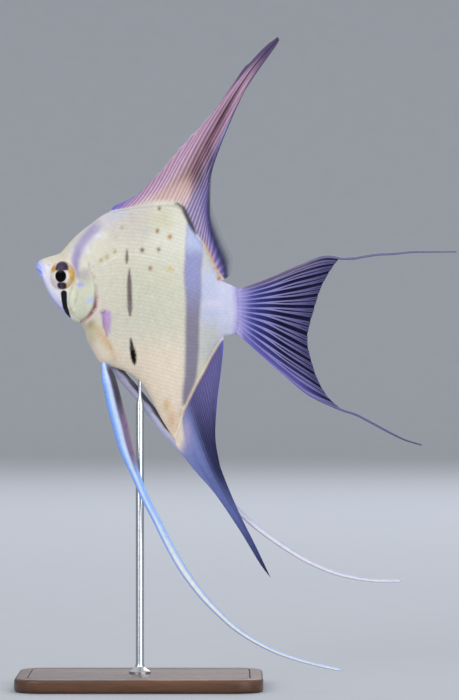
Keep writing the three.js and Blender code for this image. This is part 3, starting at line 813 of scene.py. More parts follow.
def add_scales(settings, side, word):
    """Thin overlapping scales over one side, smallest on the head, joined in one piece."""
    template = scale_template()
    local = coordinates(template)
    full = settings.row_pitch / UNIT
    places = scale_places(full)
    rng = np.random.default_rng(7 + side)
    places = places + rng.normal(0, 1, places.shape) * JITTER * places[:, 3:]
    root = skin_at(places[:, 0], turn_at(places[:, 0], places[:, 1]), side)
    places = places[~bare(root[:, 0], root[:, 2])]
    count = len(places)
    x, length, slope, height = places.T[:, :, None]
    along = 0.94 * height * local[:, 0]
    across = 0.93 * height * local[:, 1]
    radius = np.hypot(local[:, 0], local[:, 1])
    lift = settings.scale_rise / UNIT * (0.2 + 0.8 * local[:, 0]) + 0.035 * MM * (1 - radius ** 2)
    rise = lift * (1 + 0.12 * rng.normal(0, 1, (count, 1))) * height / full
    at_x = x + along
    points = skin_at(at_x, turn_at(at_x, length + slope * along - side * across), side, rise)
    # Each scale is a little darker towards its rear rim and has a random tone of its own.
    rim = smooth(0.6, 1, radius) * smooth(-0.2, 0.6, local[:, 0])
    light = (1 - 0.03 * rim) * (1 + 0.015 * rng.normal(0, 1, (count, 1)))
    # Painted highlight and shade: a pale pearly band along the middle of each row and darker paint
    # between rows, stronger on the bigger scales.
    light = light + 0.05 * (height / full) ** 2 * np.cos(2 * math.pi * 0.93 * local[:, 1])
    paint = markings(points[..., 0], points[..., 2], settings) * light[..., None]
    name = "scales_" + word
    mesh = repeated(name, template, points.reshape(-1, 3), count)
    store(mesh, "paint", paint.reshape(-1, 3))
    store(mesh, "ring", np.tile(radius, count))
    chart = np.stack([x / BODY_END, turn_at(x, length) / math.pi + 0.5], -1)
    uv = CHART_MARGIN + (1 - 2 * CHART_MARGIN) * chart + CHART_SCALE * local[:, :2]
    corners = np.zeros(len(mesh.loops), np.int32)
    mesh.loops.foreach_get("vertex_index", corners)
    mesh.uv_layers.new(name="OFBake").data.foreach_set("uv", uv.reshape(-1, 2)[corners].ravel())
    bpy.data.meshes.remove(template)
    piece(name, mesh, material_of(pearl_scales), [])


def repeated(name, template, points, count):
    """Many copies of a template joined in one mesh, their vertices at the given points."""
    size = len(template.vertices)
    corners = np.zeros(len(template.loops), np.int32)
    template.loops.foreach_get("vertex_index", corners)
    starts = np.zeros(len(template.polygons), np.int32)
    template.polygons.foreach_get("loop_start", starts)
    smooth_faces = np.array([len(face.vertices) == 4 for face in template.polygons])
    shift = np.arange(count)[:, None]
    mesh = bpy.data.meshes.new(name)
    mesh.vertices.add(count * size)
    mesh.vertices.foreach_set("co", on_the_stand(points).ravel())
    mesh.loops.add(count * len(corners))
    mesh.loops.foreach_set("vertex_index", (corners[None, :] + shift * size).ravel())
    mesh.polygons.add(count * len(starts))
    mesh.polygons.foreach_set("loop_start", (starts[None, :] + shift * len(corners)).ravel())
    mesh.polygons.foreach_set("use_smooth", np.tile(smooth_faces, count))
    mesh.update(calc_edges=True)
    beneath = [v for face in template.polygons if len(face.vertices) > 4 for v in face.vertices]
    ends = np.zeros(len(mesh.edges) * 2, np.int32)
    mesh.edges.foreach_get("vertices", ends)
    sharp = np.isin(ends % size, beneath).reshape(-1, 2).all(1)
    mesh.attributes.new("sharp_edge", "BOOLEAN", "EDGE").data.foreach_set("value", sharp)
    return mesh


# ---------------------------------------------------------------- fins of the middle plane

# Guide rays of each fin, by the number of the ray: places from its root on the body to its tip.
DORSAL_RAYS = [
    (0, [(36, 27), (38.5, 30.2)]),
    (2.4, [(42, 28.6), (44.5, 30.8), (49, 35.4)]),
    (5.4, [(49, 29.8), (54, 36), (60.5, 46.8)]),
    (8.2, [(55.5, 30.7), (63, 43), (71.5, 60)]),
    (10.6, [(61, 31.2), (71.5, 52.5), (88, 78)]),
    (12.4, [(65, 31.5), (80, 62), (106, 103)]),
    (13.8, [(68, 31.4), (84, 64), (104, 96), (118.8, 113.6)]),
    (15.2, [(70, 31), (85.5, 62), (105, 95), (119.4, 111.6)]),
    (17.5, [(72.5, 28.5), (85.5, 55), (103.3, 88)]),
    (20.5, [(75.5, 22.5), (84.5, 45), (94, 68)]),
    (24, [(79.5, 15), (84.2, 33), (86.9, 50.4)]),
    (27.4, [(83.6, 9), (85, 22), (85.9, 34)]),
    (30, [(86.4, 3), (89, 10), (91.4, 16.6)]),
    (32, [(89, -1.8), (93.4, 2), (96.7, 3.4)]),
    (34, [(92, -5.8), (95.6, -3.4)]),
]
ANAL_RAYS = [
    (0, [(68, -83), (69.5, -87.6)]),
    (2, [(69.3, -81.2), (73, -88.5), (77.4, -98.2)]),
    (5, [(70.5, -77.4), (77.5, -92), (86.7, -108.8)]),
    (8, [(71.6, -73), (82, -97), (99.5, -127.3)]),
    (10.4, [(72.8, -69), (84.5, -98), (101, -127), (111, -146)]),
    (12, [(74.2, -66), (86, -98), (103, -128), (115.4, -151.7)]),
    (14, [(75.8, -62.8), (86.6, -95), (98, -118), (108.5, -137.1)]),
    (17, [(77.6, -59), (85.6, -86), (98.8, -117.6)]),
    (20, [(80, -54.5), (85.6, -77), (90.7, -98)]),
    (23, [(83, -49), (86.6, -66), (88.1, -82)]),
    (26, [(86, -43.2), (88, -55), (88.9, -66)]),
    (29, [(89, -38), (90.1, -46), (90.5, -53)]),
    (32, [(92, -34.4), (92, -39)]),
]
TAIL_RAYS = [
    (0, [(99.5, -10.2), (112.7, -5.4), (128.8, 1.4), (143, 6), (150.3, 4.8)]),
    (2, [(99.8, -13), (113, -9.5), (130, -3.6), (146.5, 0.6)]),
    (4, [(100, -16), (113, -14.4), (127, -12.6), (140.1, -10.2)]),
    (6, [(100.2, -19.5), (113, -19.8), (126, -21), (136.8, -22)]),
    (8, [(100.2, -23), (112, -26.2), (123, -31), (133.8, -36.2)]),
    (10, [(100, -26.6), (111, -32.8), (124, -41.4), (136.3, -49)]),
    (12, [(99.6, -30), (111, -39.8), (127, -52), (142.8, -62.2)]),
    (13, [(98.8, -32.2), (108.8, -41.3), (120.8, -51.8), (135.1, -63.2), (150.4, -69.3)]),
]
ROOT_DEPTH = 2.4  # the rays start this far inside the body
RAIL_STEPS = 49
JOINT_LENGTH = 0.0009  # of one segment of a ray, in metres


def rails(guides):
    """The numbers of the guide rays, and places at equal steps along each, from inside the body to
    the tip."""
    rows = []
    for _, points in guides:
        points = np.array(points, float)
        first = points[1] - points[0]
        points = np.vstack([points[0] - first / np.linalg.norm(first) * ROOT_DEPTH, points])
        passed = passed_along(points)
        rows.append(through(passed, points, np.linspace(0, passed[-1], RAIL_STEPS)))
    return [number for number, _ in guides], np.array(rows)


def between_rails(numbers, table, ray, share):
    """Places on a fin: the number of the ray and the share of its length passed."""
    columns = through(numbers, table, ray)
    at = share * (RAIL_STEPS - 1.001)
    i = at.astype(int)
    part = (at - i)[:, None]
    rows = np.arange(len(ray))
    return columns[rows, i] * (1 - part) + columns[rows, i + 1] * part


def ray_ridge(ray, share, forks, width):
    """1 along the middle of each ray and 0 between rays. A ray forks in two from a share of its length,
    and each branch in two again from another."""
    aside = np.abs(ray - np.round(ray))
    for spread_to, start in zip((0.19, 0.085), forks):
        split = smooth(start, min(start + 0.45, 1), share)
        aside = np.abs(aside - spread_to * split)
        width = width * (1 - 0.4 * split)
    return bump(aside, width)


def add_fin(name, guides, columns, rows, look, sway, settings, nodes, forks=(0.6,), ragged=0.01,
            steps=0.0, ray_width=0.2, root=(0.75, 1.3, 0)):
    """A fin with raised rays and thin web between them, from its guide rays. It flares out by root[0]
    millimetres where it leaves the body, over about root[1] hundredths of the length, and closes again
    from root[2] inside the body."""
    numbers, table = rails(guides)
    lengths = [passed_along(row)[-1] for row in table]
    last = numbers[-1]

    def shape(points):
        ray = (points[:, 0] + 1) / 2 * last
        share = (points[:, 1] + 1) / 2
        side = np.where(points[:, 2] > 0.5, 1.0, -1.0)
        ridge = ray_ridge(ray, share, forks, ray_width)
        tip = ray_ridge(ray, np.ones(len(ray)), forks, ray_width)
        strand = np.sin(np.round(ray * 4) * 31.7)
        uneven = 1.8 + np.sin(np.round(ray) * 12.9) + 0.8 * strand
        notch = steps * (ray % 1) * smooth(4, 6, ray) * smooth(13, 12.5, ray)
        cut = share * (1 - (0.6 * ragged * (1 - tip + uneven) + notch) * share ** 3)
        x, z = between_rails(numbers, table, ray, cut).T
        passed = cut * np.interp(ray, numbers, lengths)
        out = passed - ROOT_DEPTH
        flare = root[0] * MM * np.exp(-np.maximum(out, 0) / root[1])
        flare = flare * smooth(-ROOT_DEPTH, -root[2], out)
        edge = smooth(0, 0.35, ray) * smooth(0, 0.35, last - ray) * smooth(1, 0.97, share)
        half = (0.07 + 0.15 * ridge * (1 - 0.45 * share)) * MM * (0.35 + 0.65 * edge) + flare
        ripple = 0.22 * MM * np.sin(ray * 1.1 + 5 * share) * share ** 2
        colour, solid = look(ray, share, x, z, ridge, settings)
        marks = {"paint": colour, "solid": solid, "ray": ridge, "joint": passed * UNIT / JOINT_LENGTH}
        return np.stack([x, sway(x, z) + ripple + side * half, z], -1), marks

    material = material_of(tinted_fin_resin, settings.web_opacity)
    formed(name, slab(columns, rows), shape, material, nodes)


def leaning(most, root, tip, at):
    """How far a fin leans out of the middle plane, from none at its root to the most at its tip."""
    return most * np.clip((at - root) / (tip - root), 0, 1.1) ** 2


def dorsal_sway(x, z):
    """How far the dorsal fin leans to one side."""
    return leaning(DORSAL_SWAY, 30, 113.6, z)


def anal_sway(x, z):
    """How far the anal fin leans to one side."""
    return leaning(ANAL_SWAY, -60, -151.7, z)


def tail_sway(x, z):
    """How far the tail fin and its streamers lean to one side."""
    return leaning(TAIL_SWAY, 98, 205.4, x)


def blended(colour, solid, x, z, out, reach, settings):
    """Fin colours that start from the body's, and its solidity, where the fin is rooted."""
    near = smooth(1, 0, out / reach)
    return painted(colour, [(markings(x, z, settings), near)]), np.maximum(solid, near)


def dorsal_look(ray, share, x, z, ridge, settings):
    """Pink rays over mauve web in front, a dark streak along the blade, and smoky blue behind."""
    ridge = ridge * (1 - 0.5 * smooth(0.35, 0.8, share))
    base = (0.45 + 0.55 * ridge) * smooth(0.42, 0.12, share) * smooth(4, 7, ray)
    blade = bump(ray - 15.2, 2.4 + 1.2 * smooth(0.45, 0.2, share)) * (1 - 0.35 * ridge)
    rear = smooth(16.8, 19, ray)
    front = smooth(3, 0.4, ray) + smooth(0.88, 0.98, share) * smooth(5.5, 3, ray)
    blotch = smooth(0.2, 0.8, np.sin(ray * 1.6 + 2.4) * np.sin(share * 15 + ray))
    smoke = spot(x, z, (80.5, 45), (3.2, 9)) + 0.8 * spot(x, z, (85, 56), (2.2, 7))
    out = off(BACK_LINE[10:-2], x, z)
    colour = painted(linear("a6829c"), [
        ("dfc0d8", ridge),
        ("8d7cae", 0.5 * smooth(6, 2, ray)),
        ("e8d2c2", 0.8 * base),
        ("c79c8a", 0.4 * bump(share - 0.13, 0.09) * smooth(7, 11, ray) * smooth(17, 15, ray)),
        ("6a3f4e", 0.92 * blade * smooth(0.1, 0.21, share) * smooth(0.8, 0.5, share)),
        ("1a1222", 0.92 * bump(ray - 14.7, 0.36) * smooth(0.3, 0.5, share)),
        ("332c56", 0.85 * smooth(0.72, 0.93, share) * smooth(10.5, 12.5, ray)),
        ("756b9c", 0.95 * rear * (1 - ridge)),
        ("a69cc6", 0.85 * rear * ridge),
        ("4d4a9a", 0.5 * rear * smooth(0.2, 0.45, share) * smooth(19, 23, ray)),
        ("23265c", 0.85 * rear * smooth(0.4, 0.85, share)),
        ("191d50", 0.85 * smooth(21, 26, ray) * smooth(0.3, 0.65, share)),
        ("6c66c4", 0.85 * np.clip(front, 0, 1) * (1 - 0.35 * ridge)),
        ("d9bcd6", 0.6 * smooth(0.93, 0.985, share) * bump(ray - 8, 3)),
        ("1d1836", 0.75 * rear * blotch * smooth(0.25, 0.45, share) * smooth(25, 22, ray)),
        ("b9b4e6", 0.7 * rear * (1 - blotch) * bump(share - 0.76, 0.09) * bump(ray - 18, 1.5)),
        ("3f2f44", 0.75 * np.clip(smoke, 0, 1) * (1 - 0.45 * ridge)),
        ("d9a67c", 0.6 * bump(out - 0.45, 0.5) * smooth(17, 19, ray)),
        back_streak(x, z),
    ])
    thin = smooth(18, 23, ray) * smooth(0.4, 0.95, share)
    solid = 1 - 0.94 * thin - 0.25 * rear * smooth(0.6, 1, share) * (1 - ridge) * (1 - thin)
    reach = 0.8 + 2.2 * smooth(3, 8, ray) * smooth(18, 14, ray)
    return blended(colour, solid, x, z, out, reach, settings)


def anal_look(ray, share, x, z, ridge, settings):
    """Slate blue and opaque in front, and dark violet with fine rays behind."""
    front = 1 - smooth(8.5, 14.5, ray) * smooth(-126, -98, z)
    slate = profile([(-150, 0), (-118, 0.35), (-100, 0.6), (-84, 1)], z)
    cream = smooth(72.6, 70.4, x + 0.1 * (z + 76)) * smooth(-88, -81, z)
    rim = smooth(0.93, 0.99, share) * smooth(13, 17, ray)
    out = -off(BELLY_LINE[19:-3], x, z)
    colour = painted(linear("141a42"), [
        ("645e94", 0.9 * smooth(-88, -52, z)),
        ("7773a6", (0.3 + 0.25 * smooth(-92, -58, z)) * smooth(0.1, 1, ridge)),
        ("545e9a", 0.95 * front),
        ("8793c6", 0.85 * front * slate * (0.75 + 0.25 * ridge)),
        ("b9abc4", 0.6 * front * spot(x, z, (73.4, -80), (3, 9))),
        ("dccabf", 0.85 * cream),
        ("3d4674", 0.8 * smooth(-118, -136, z)),
        ("1f1b3c", 0.85 * smooth(-134, -150, z)),
        ("e8cdb8", 0.85 * smooth(2.4, 0.5, ray) * smooth(-92, -84, z)),
        ("5c68dd", 0.9 * rim),
        ("6f77dc", 0.8 * smooth(30, 31.6, ray)),
        ("dfba96", 0.5 * bump(out - 0.35, 0.4) * smooth(8, 11, ray)),
    ])
    solid = 1 - 0.04 * smooth(12, 17, ray) * smooth(0.2, 0.7, share) * (1 - 0.6 * ridge) * (1 - rim)
    return blended(colour, solid, x, z, out, 0.8 + 7 * smooth(9, 3, ray), settings)


def tail_look(ray, share, x, z, ridge, settings):
    """Lavender rays, each forked into four towards its end, over a web of dark ink blue."""
    edge = np.clip(bump(ray, 1.2) + bump(ray - 13, 1.2), 0, 1)
    rays = smooth(0.3, 0.85, ridge)
    lobe = 0.8 * edge * (1 - 0.9 * smooth(0.6, 0.95, share))
    lower = smooth(4, 8, ray)
    colour = painted(linear("080e2c"), [
        ("32387a", 0.9 * smooth(0.62, 0.22, share)),
        ("9890c8", 0.92 * rays),
        ("3c3564", 0.85 * rays * smooth(0.35, 1, share) * (1 - 0.5 * edge)),
        ("8280cc", 0.85 * smooth(0.44, 0.08, share + 0.12 * (1 - rays))),
        ("b2a8dc", 0.85 * smooth(0.24, 0.02, share + 0.03 * (1 - rays))),
        ("6a66b0", lobe * lower),
        ("766c86", lobe * (1 - lower)),
        # Painted glint along the rays of the outer lobes, weaker on the upper lobe.
        ("9088c4", 0.6 * lobe * rays * (0.3 + 0.7 * lower)),
        ("a08068", 0.6 * smooth(0.3, 0, ray) * smooth(0.5, 0.3, share)),
    ])
    solid = 1 - 0.06 * smooth(0.3, 0.95, share) * (1 - rays) * (1 - 0.5 * edge)
    return blended(colour, solid, x, z, x - 98.5 - 0.12 * np.abs(z + 21), 2.5, settings)


# ---------------------------------------------------------------- streamers and paired fins

LEFT_PELVIC = [
    (33.6, -43.4), (34.7, -49), (36.7, -56.2), (39.4, -67.7), (41.8, -76.6), (44, -85.5), (46.7, -93.7),
    (49.8, -101.8), (54.5, -113), (59.2, -122), (63.2, -130.2), (67.3, -138), (71.2, -144.8),
    (75.4, -151.1), (83.2, -161), (90, -168), (98, -175.2), (108.4, -181.9), (119.5, -187.2),
    (135.8, -192.2), (149.5, -195.3),
]
LEFT_WIDTH = [
    (0, 2.6), (0.03, 4.8), (0.06, 7), (0.16, 7.8), (0.2, 7.4), (0.25, 6), (0.29, 4.5), (0.35, 3.8),
    (0.5, 3.8), (0.6, 3.4), (0.68, 2.7), (0.79, 2.1), (1, 1.3),
]
RIGHT_PELVIC = [
    (34.6, -41), (40.5, -50.2), (48.8, -60), (54.5, -67.2), (58.5, -72.2), (64.2, -79.5), (70.7, -87.3),
    (80.5, -98.3), (90, -108.8), (98.6, -118.1), (106.5, -125.4), (119.5, -135.1), (135.8, -144.9),
    (152, -150.9), (168.3, -153.3), (179.7, -153.5),
]
RIGHT_WIDTH = [
    (0, 2.6), (0.05, 4.8), (0.17, 5.2), (0.26, 4.8), (0.35, 4), (0.52, 2.8), (0.67, 2.5), (0.85, 1.8),
    (1, 1.3),
]
UPPER_STREAMER = [
    (136, 3.6), (143, 5.6), (150.3, 4.5), (155, 4.6), (161, 5.6), (167.5, 6.5), (175.6, 6.9),
    (185.4, 7.7), (205.4, 7.7),
]
LOWER_STREAMER = [
    (137, -64), (144, -67), (150.5, -69.5), (156.1, -71.3), (163.9, -75.3), (173.7, -80.6), (181, -84),
    (188.6, -86.3),
]
TAIL_STREAMER_WIDTH = [(0, 0.7), (0.3, 1.25), (1, 0.75)]


def add_streamer(name, route, y_at, width, thickness, look, nodes):
    """A long flattened fin ray along a route, with a rounded section and a closed tip."""
    x, z = np.array(route, float).T
    knots = np.column_stack([x, y_at(np.linspace(0, 1, len(x)), x), z])
    passed = passed_along(knots)
    passed = passed / passed[-1]

    def shape(points):
        share = np.arccos(np.clip(points[:, 2], -1, 1)) / math.pi
        angle = np.arctan2(points[:, 1], points[:, 0])
        across, up = np.cos(angle), np.sin(angle)
        before, placed, after = (
            through(passed, knots, np.clip(share + step, 0, 1)) for step in (-0.004, 0, 0.004))
        along = after - before
        along /= np.hypot(along[:, 0], along[:, 2])[:, None]
        half = profile(width, share) / 2
        end = np.sqrt(np.clip(share / 0.006, 0, 1) * np.clip((1 - share) / 0.01, 0, 1))
        placed[:, 0] -= along[:, 2] * across * half * end
        placed[:, 1] += np.sign(up) * np.abs(up) ** 0.8 * end * np.minimum(thickness / 2, half)
        placed[:, 2] += along[:, 0] * across * half * end
        return placed, {"paint": look(share, across), "across": across * half}

    formed(name, ball(24, 220), shape, material_of(lacquered_rays), nodes)


def left_pelvic_look(share, rear):
    """Sky blue with a painted white highlight in front, and a mauve-brown web behind near the root."""
    web = smooth(-0.05, 0.25, rear) * smooth(0.005, 0.04, share) * smooth(0.31, 0.24, share)
    return painted(linear("8fbdff"), [
        # Painted highlight: a white glint just in front of the middle.
        ("e9f3ff", 0.8 * bump(rear + 0.15, 0.28)),
        ("6797f2", 0.85 * smooth(-0.45, -0.9, rear)),
        ("76597c", 0.95 * web),
        ("15132a", 0.95 * web * smooth(0.1, 0.4, rear) * smooth(0.17, 0.1, share)),
        ("b88f88", 0.5 * web * smooth(0.75, 1, rear) * smooth(0.1, 0.14, share)),
        ("5f8cf0", 0.7 * smooth(0.45, 0.9, np.abs(rear)) * smooth(0.4, 0.6, share)),
        # Painted highlight: a warm white line along the middle of the outer part.
        ("fffae4", 0.92 * bump(rear, 0.6) * smooth(0.34, 0.58, share)),
    ])


def right_pelvic_look(share, rear):
    """Pale lavender blue with a dusky web above it near the root."""
    torn = 0.12 * np.sin(60 * share) + 0.08 * np.sin(133 * share)
    web = smooth(0.05, 0.35, rear + torn) * smooth(0.005, 0.03, share) * smooth(0.34, 0.28, share)
    return painted(linear("b9bdf0"), [
        ("9a8f98", 0.6 * smooth(0.25, 0.1, share)),
        # Painted highlight: a pale line just in front of the middle.
        ("f1effb", 0.85 * bump(rear + 0.2, 0.35) * smooth(0, 0.3, share)),
        ("241c2c", 0.93 * web),
        ("8f93d8", 0.6 * smooth(0.5, 0.95, np.abs(rear)) * smooth(0.45, 0.7, share)),
        # Painted highlight: a warm white line along the middle of the outer part.
        ("fdf8ea", 0.88 * bump(rear, 0.6) * smooth(0.36, 0.6, share)),
    ])


def upper_streamer_look(share, rear):
    """Slate violet with a paler middle."""
    return painted(linear("4f4c78"), [
        ("8c84b0", 0.7 * bump(rear, 0.5)), ("6a6391", 0.8 * smooth(0.5, 1, share)),
    ])


def lower_streamer_look(share, rear):
    """Slate violet with a paler middle, darker towards the tip."""
    return painted(linear("4a4479"), [
        ("8279ab", 0.7 * bump(rear, 0.5)), ("463f66", 0.8 * smooth(0.4, 1, share)),
    ])


def pelvic_out(share):
    """How far a pelvic fin stands out of the middle plane."""
    return (0.5 + 1.9 * smooth(0, 0.12, share) + 7 * share) * MM


PECTORAL_RAYS = [
    (0, [(33.8, -23), (40, -19.8), (48, -15.7), (55.6, -12)]),
    (2.4, [(34.2, -24.4), (45, -20.4), (58.2, -16.6)]),
    (4.8, [(34.6, -26), (46, -24.2), (58.4, -22)]),
    (7.2, [(34.9, -27.6), (46, -28.6), (56.8, -29.4)]),
    (9.6, [(35, -29.2), (44.6, -33), (52.6, -36.6)]),
    (12, [(34.9, -31), (40.6, -37.2), (45, -42.6)]),
]
PECTORAL_ROOT_X = 33.6
PECTORAL_ROOT_OUT = 5.4 * MM
PECTORAL_LEAN = 0.42


def pectoral_look(ray, share, x, z, ridge, settings):
    """Almost clear, with faint pale rays and a violet root."""
    root = smooth(0.2, 0.06, share)
    colour = painted(linear("d9dae2"), [("b28acb", root), ("8f8b8c", 0.6 * smooth(0.5, 0.1, ray))])
    solid = 0.015 + 0.035 * ridge + 0.03 * smooth(0.4, 0.1, ray) + 0.25 * root
    return colour, np.clip(solid, 0, 1)


def add_pectoral(settings, side, word):
    """A pectoral fin, spread out and back from its root."""
    def sway(x, z):
        return side * (PECTORAL_ROOT_OUT + PECTORAL_LEAN * (x - PECTORAL_ROOT_X))

    add_fin("pectoral_web_" + word, PECTORAL_RAYS, 120, 36, pectoral_look, sway, settings,
            ["pectoral_fin_" + word], forks=(0.45,), ray_width=0.14)


# ---------------------------------------------------------------- eyes

EYE_RADII = np.array([4.68, 5.4, 2.3]) * MM  # along the head, up, and out of it
EYE_OUT = 4.2 * MM
EYE_TURN = 0.2
PUPIL = (-0.2, -0.4)
PUPIL_RADII = (2.75, 2.95)


def blunt(across, up, centre, radii, power):
    """How far out places are from an oval with blunt corners, 1 on its edge."""
    across, up = np.abs((across - centre[0]) / radii[0]), np.abs((up - centre[1]) / radii[1])
    return (across ** power + up ** power) ** (1 / power)


def add_eye(side, word):
    """A glass ball that looks out and a little forward, its pole at the middle of the iris."""
    def shape(points):
        a, b, depth = (points * EYE_RADII).T
        across, up = a - PUPIL[0], b - PUPIL[1]
        far = oval(across, up, (0, 0), PUPIL_RADII)
        rim = np.hypot(points[:, 0], points[:, 1])
        reach = np.hypot(across, up)
        over = np.degrees(np.arctan2(across, up))
        rear = bump(over - 84, 46) * smooth(3.7, 4.9, reach)
        front = bump(over + 47, 19) * smooth(3.2, 4.4, reach)
        above = smooth(1.12, 0.78, blunt(across, up, (0.45, 3.7), (3.4, 3.7), 2.2))
        above = above * smooth(2.3, 3.2, up)
        below = smooth(1.16, 0.76, blunt(across, up, (0.4, -4.5), (2.45, 1.85), 2.6))
        below = below * smooth(-2.7, -3.5, up)
        colour = painted(linear("f1e8dc"), [
            ("d3d2e4", 0.85 * smooth(3.9, 4.8, reach) * bump(over + 128, 34)),
            ("c9b49c", 0.5 * bump(reach - 4, 0.5) * bump(over + 130, 16)),
            ("c59f3e", 0.95 * np.clip(1.2 * (rear + front), 0, 1)),
            ("b98463", 0.75 * rear * bump(over - 40, 18)),
            ("a86f26", 0.5 * rear * bump(over - 62, 14) * smooth(6.2, 5.4, reach)),
            ("dcb884", 0.8 * smooth(108, 132, over) * smooth(3.9, 5, reach)),
            ("e4d2c4", 0.5 * smooth(0.9, 0.99, rim)),
            ("9a7c9c", 0.85 * bump(far - 1.12, 0.09) * np.abs(np.cos(np.radians(over))) ** 1.5),
            ("2b193c", 0.97 * above),
            ("1f0c26", 0.97 * below),
            # Painted highlights: lighter lilac patches in the dark sectors above and below the pupil.
            ("5b4476", 0.5 * above * spot(across, up, (-0.2, 6.1), (1.7, 0.9))),
            ("6d5288", 0.5 * below * spot(across, up, (0.4, -5.2), (0.5, 1))),
            ("010101", smooth(1.06, 0.97, far)),
            ("2a1c20", depth < 0),
        ])
        gleam = smooth(1.1, 1.3, far) * (1 - above) * (1 - below)
        cosine, sine = math.cos(EYE_TURN), side * math.sin(EYE_TURN)
        x = EYE_CENTRE[0] + a * cosine - side * depth * sine
        y = side * EYE_OUT + a * sine + side * depth * cosine
        return np.stack([x, y, EYE_CENTRE[1] + b], -1), {"paint": colour, "gleam": gleam}

    formed("eye_ball_" + word, ball(96, 72), shape, material_of(glass_eye), ["eye_" + word])


# ---------------------------------------------------------------- stand

SHARP_ANGLE = math.radians(32)
CORNER_RADIUS = 0.01
EDGE_RADIUS = 0.0011
LINE_INSET = 0.0045  # of the line cut round the top of the base
LINE_DEPTH = 0.0004
ROD_RADIUS = 0.0015
PIN = 0.4  # thickness of the rod's end, set into the belly, as a share of the rod's


def keep_corners(bm):
    """Smooth faces with their sharp edges kept."""
    for face in bm.faces:
        face.smooth = True
    for edge in bm.edges:
        edge.smooth = len(edge.link_faces) == 2 and edge.calc_face_angle() < SHARP_ANGLE


def add_base(settings):
    """A low walnut block with rounded corners, a rounded top edge and a fine line cut round the top."""
    low, high = BASE_BOX
    size = high - low
    bevel = {"profile": 0.5, "affect": "EDGES", "material": -1}

    def level(edge):
        return abs(edge.verts[0].co.z - edge.verts[1].co.z) < MERGED

    def outer(edge):
        return any(abs(face.normal.z) < 0.1 for face in edge.link_faces)

    def build(bm):
        bmesh.ops.create_cube(bm, size=1)
        bmesh.ops.scale(bm, vec=size, verts=bm.verts)
        bmesh.ops.translate(bm, vec=(low + high) / 2, verts=bm.verts)
        upright = [edge for edge in bm.edges if not level(edge)]
        bmesh.ops.bevel(bm, geom=upright, offset=CORNER_RADIUS, segments=12, **bevel)
        top = max(bm.faces, key=lambda face: face.calc_center_median().z)
        bmesh.ops.inset_individual(bm, faces=[top], thickness=LINE_INSET)
        for depth in (-LINE_DEPTH, LINE_DEPTH):
            bmesh.ops.inset_individual(bm, faces=[top], thickness=0.0003, depth=depth)
        edges = [edge for edge in bm.edges if level(edge) and outer(edge)]
        bmesh.ops.bevel(bm, geom=edges, offset=EDGE_RADIUS, segments=5, **bevel)
        face_outwards(bm)
        keep_corners(bm)

    wood = material_of(oiled_walnut, settings.wood_colour)
    piece("display_base", new_mesh("base", build), wood, ["stand_base"])


def add_rod():
    """A turned steel rod with a flanged foot, from the base up into the belly."""
    floor = BASE_BOX[1].z
    foot = ROD_BOX[1].x
    top = ROD_BOX[1].z + 0.0025
    outline = [
        (0, floor - 0.0005), (foot, floor - 0.0005), (foot, floor + 0.0009),
        (foot - 0.0004, floor + 0.0013), (ROD_RADIUS * 1.7, floor + 0.0019),
        (ROD_RADIUS * 1.2, floor + 0.0026), (ROD_RADIUS, floor + 0.0038), (ROD_RADIUS, top - 0.0125),
        (ROD_RADIUS * PIN, top - 0.009), (ROD_RADIUS * PIN, top), (0, top),
    ]
    mesh = new_mesh("rod", turned(outline, 48))
    rework(mesh, face_outwards)
    rework(mesh, keep_corners)
    piece("display_rod", mesh, material_of(turned_steel), ["stand_rod"])


# ---------------------------------------------------------------- stage

VIEW_CENTRE = (0.0328, 0.1234)  # of what the camera frames, along and up, in metres
VIEW_HEIGHT = 0.2561
CAMERA_DISTANCE = 1.42
SENSOR = 36
FLOOR_REACH = 3.2
WALL_BEND = 1.6  # radius of the curve from the floor to the wall
LAMPS = [  # name, place, size, power, colour
    ("key", (-1.3, -2.1, 1.3), 1.4, 27.0, "fffaf2"),
    ("fill", (1.5, -1.9, 0.5), 2.0, 29.0, "eef3ff"),
    ("back", (0.4, 1.8, 1.5), 1.4, 20.0, "f4f6ff"),
]
SKY_COLOUR = "f1f3f6"
SKY_STRENGTH = 0.78


def add_sweep(paper_colour):
    """A floor that curves up into a wall all round, so that every view has a plain ground."""
    outline = [(0, 0), (0.5, 0), (1.5, 0), (2.6, 0)]
    for angle in np.linspace(0, math.pi / 2, 17):
        outline.append((FLOOR_REACH + WALL_BEND * math.sin(angle), WALL_BEND * (1 - math.cos(angle))))
    mesh = new_mesh("sweep", turned(outline, 96))
    mesh.shade_smooth()
    mesh.materials.append(material_of(studio_paper, paper_colour))
    in_scene("sweep", mesh)


def add_lamp(name, place, size, power, hex_colour):
    """A square soft light that faces the middle of the fish."""
    light = bpy.data.lights.new(name, "AREA")
    light.shape = "SQUARE"
    light.size = size
    light.energy = power
    light.color = tuple(linear(hex_colour))
    lamp = in_scene(name, light)
    lamp.location = place
    aim = Vector((VIEW_CENTRE[0], 0, VIEW_CENTRE[1])) - Vector(place)
    lamp.rotation_mode = "QUATERNION"
    lamp.rotation_quaternion = aim.to_track_quat("-Z", "Y")


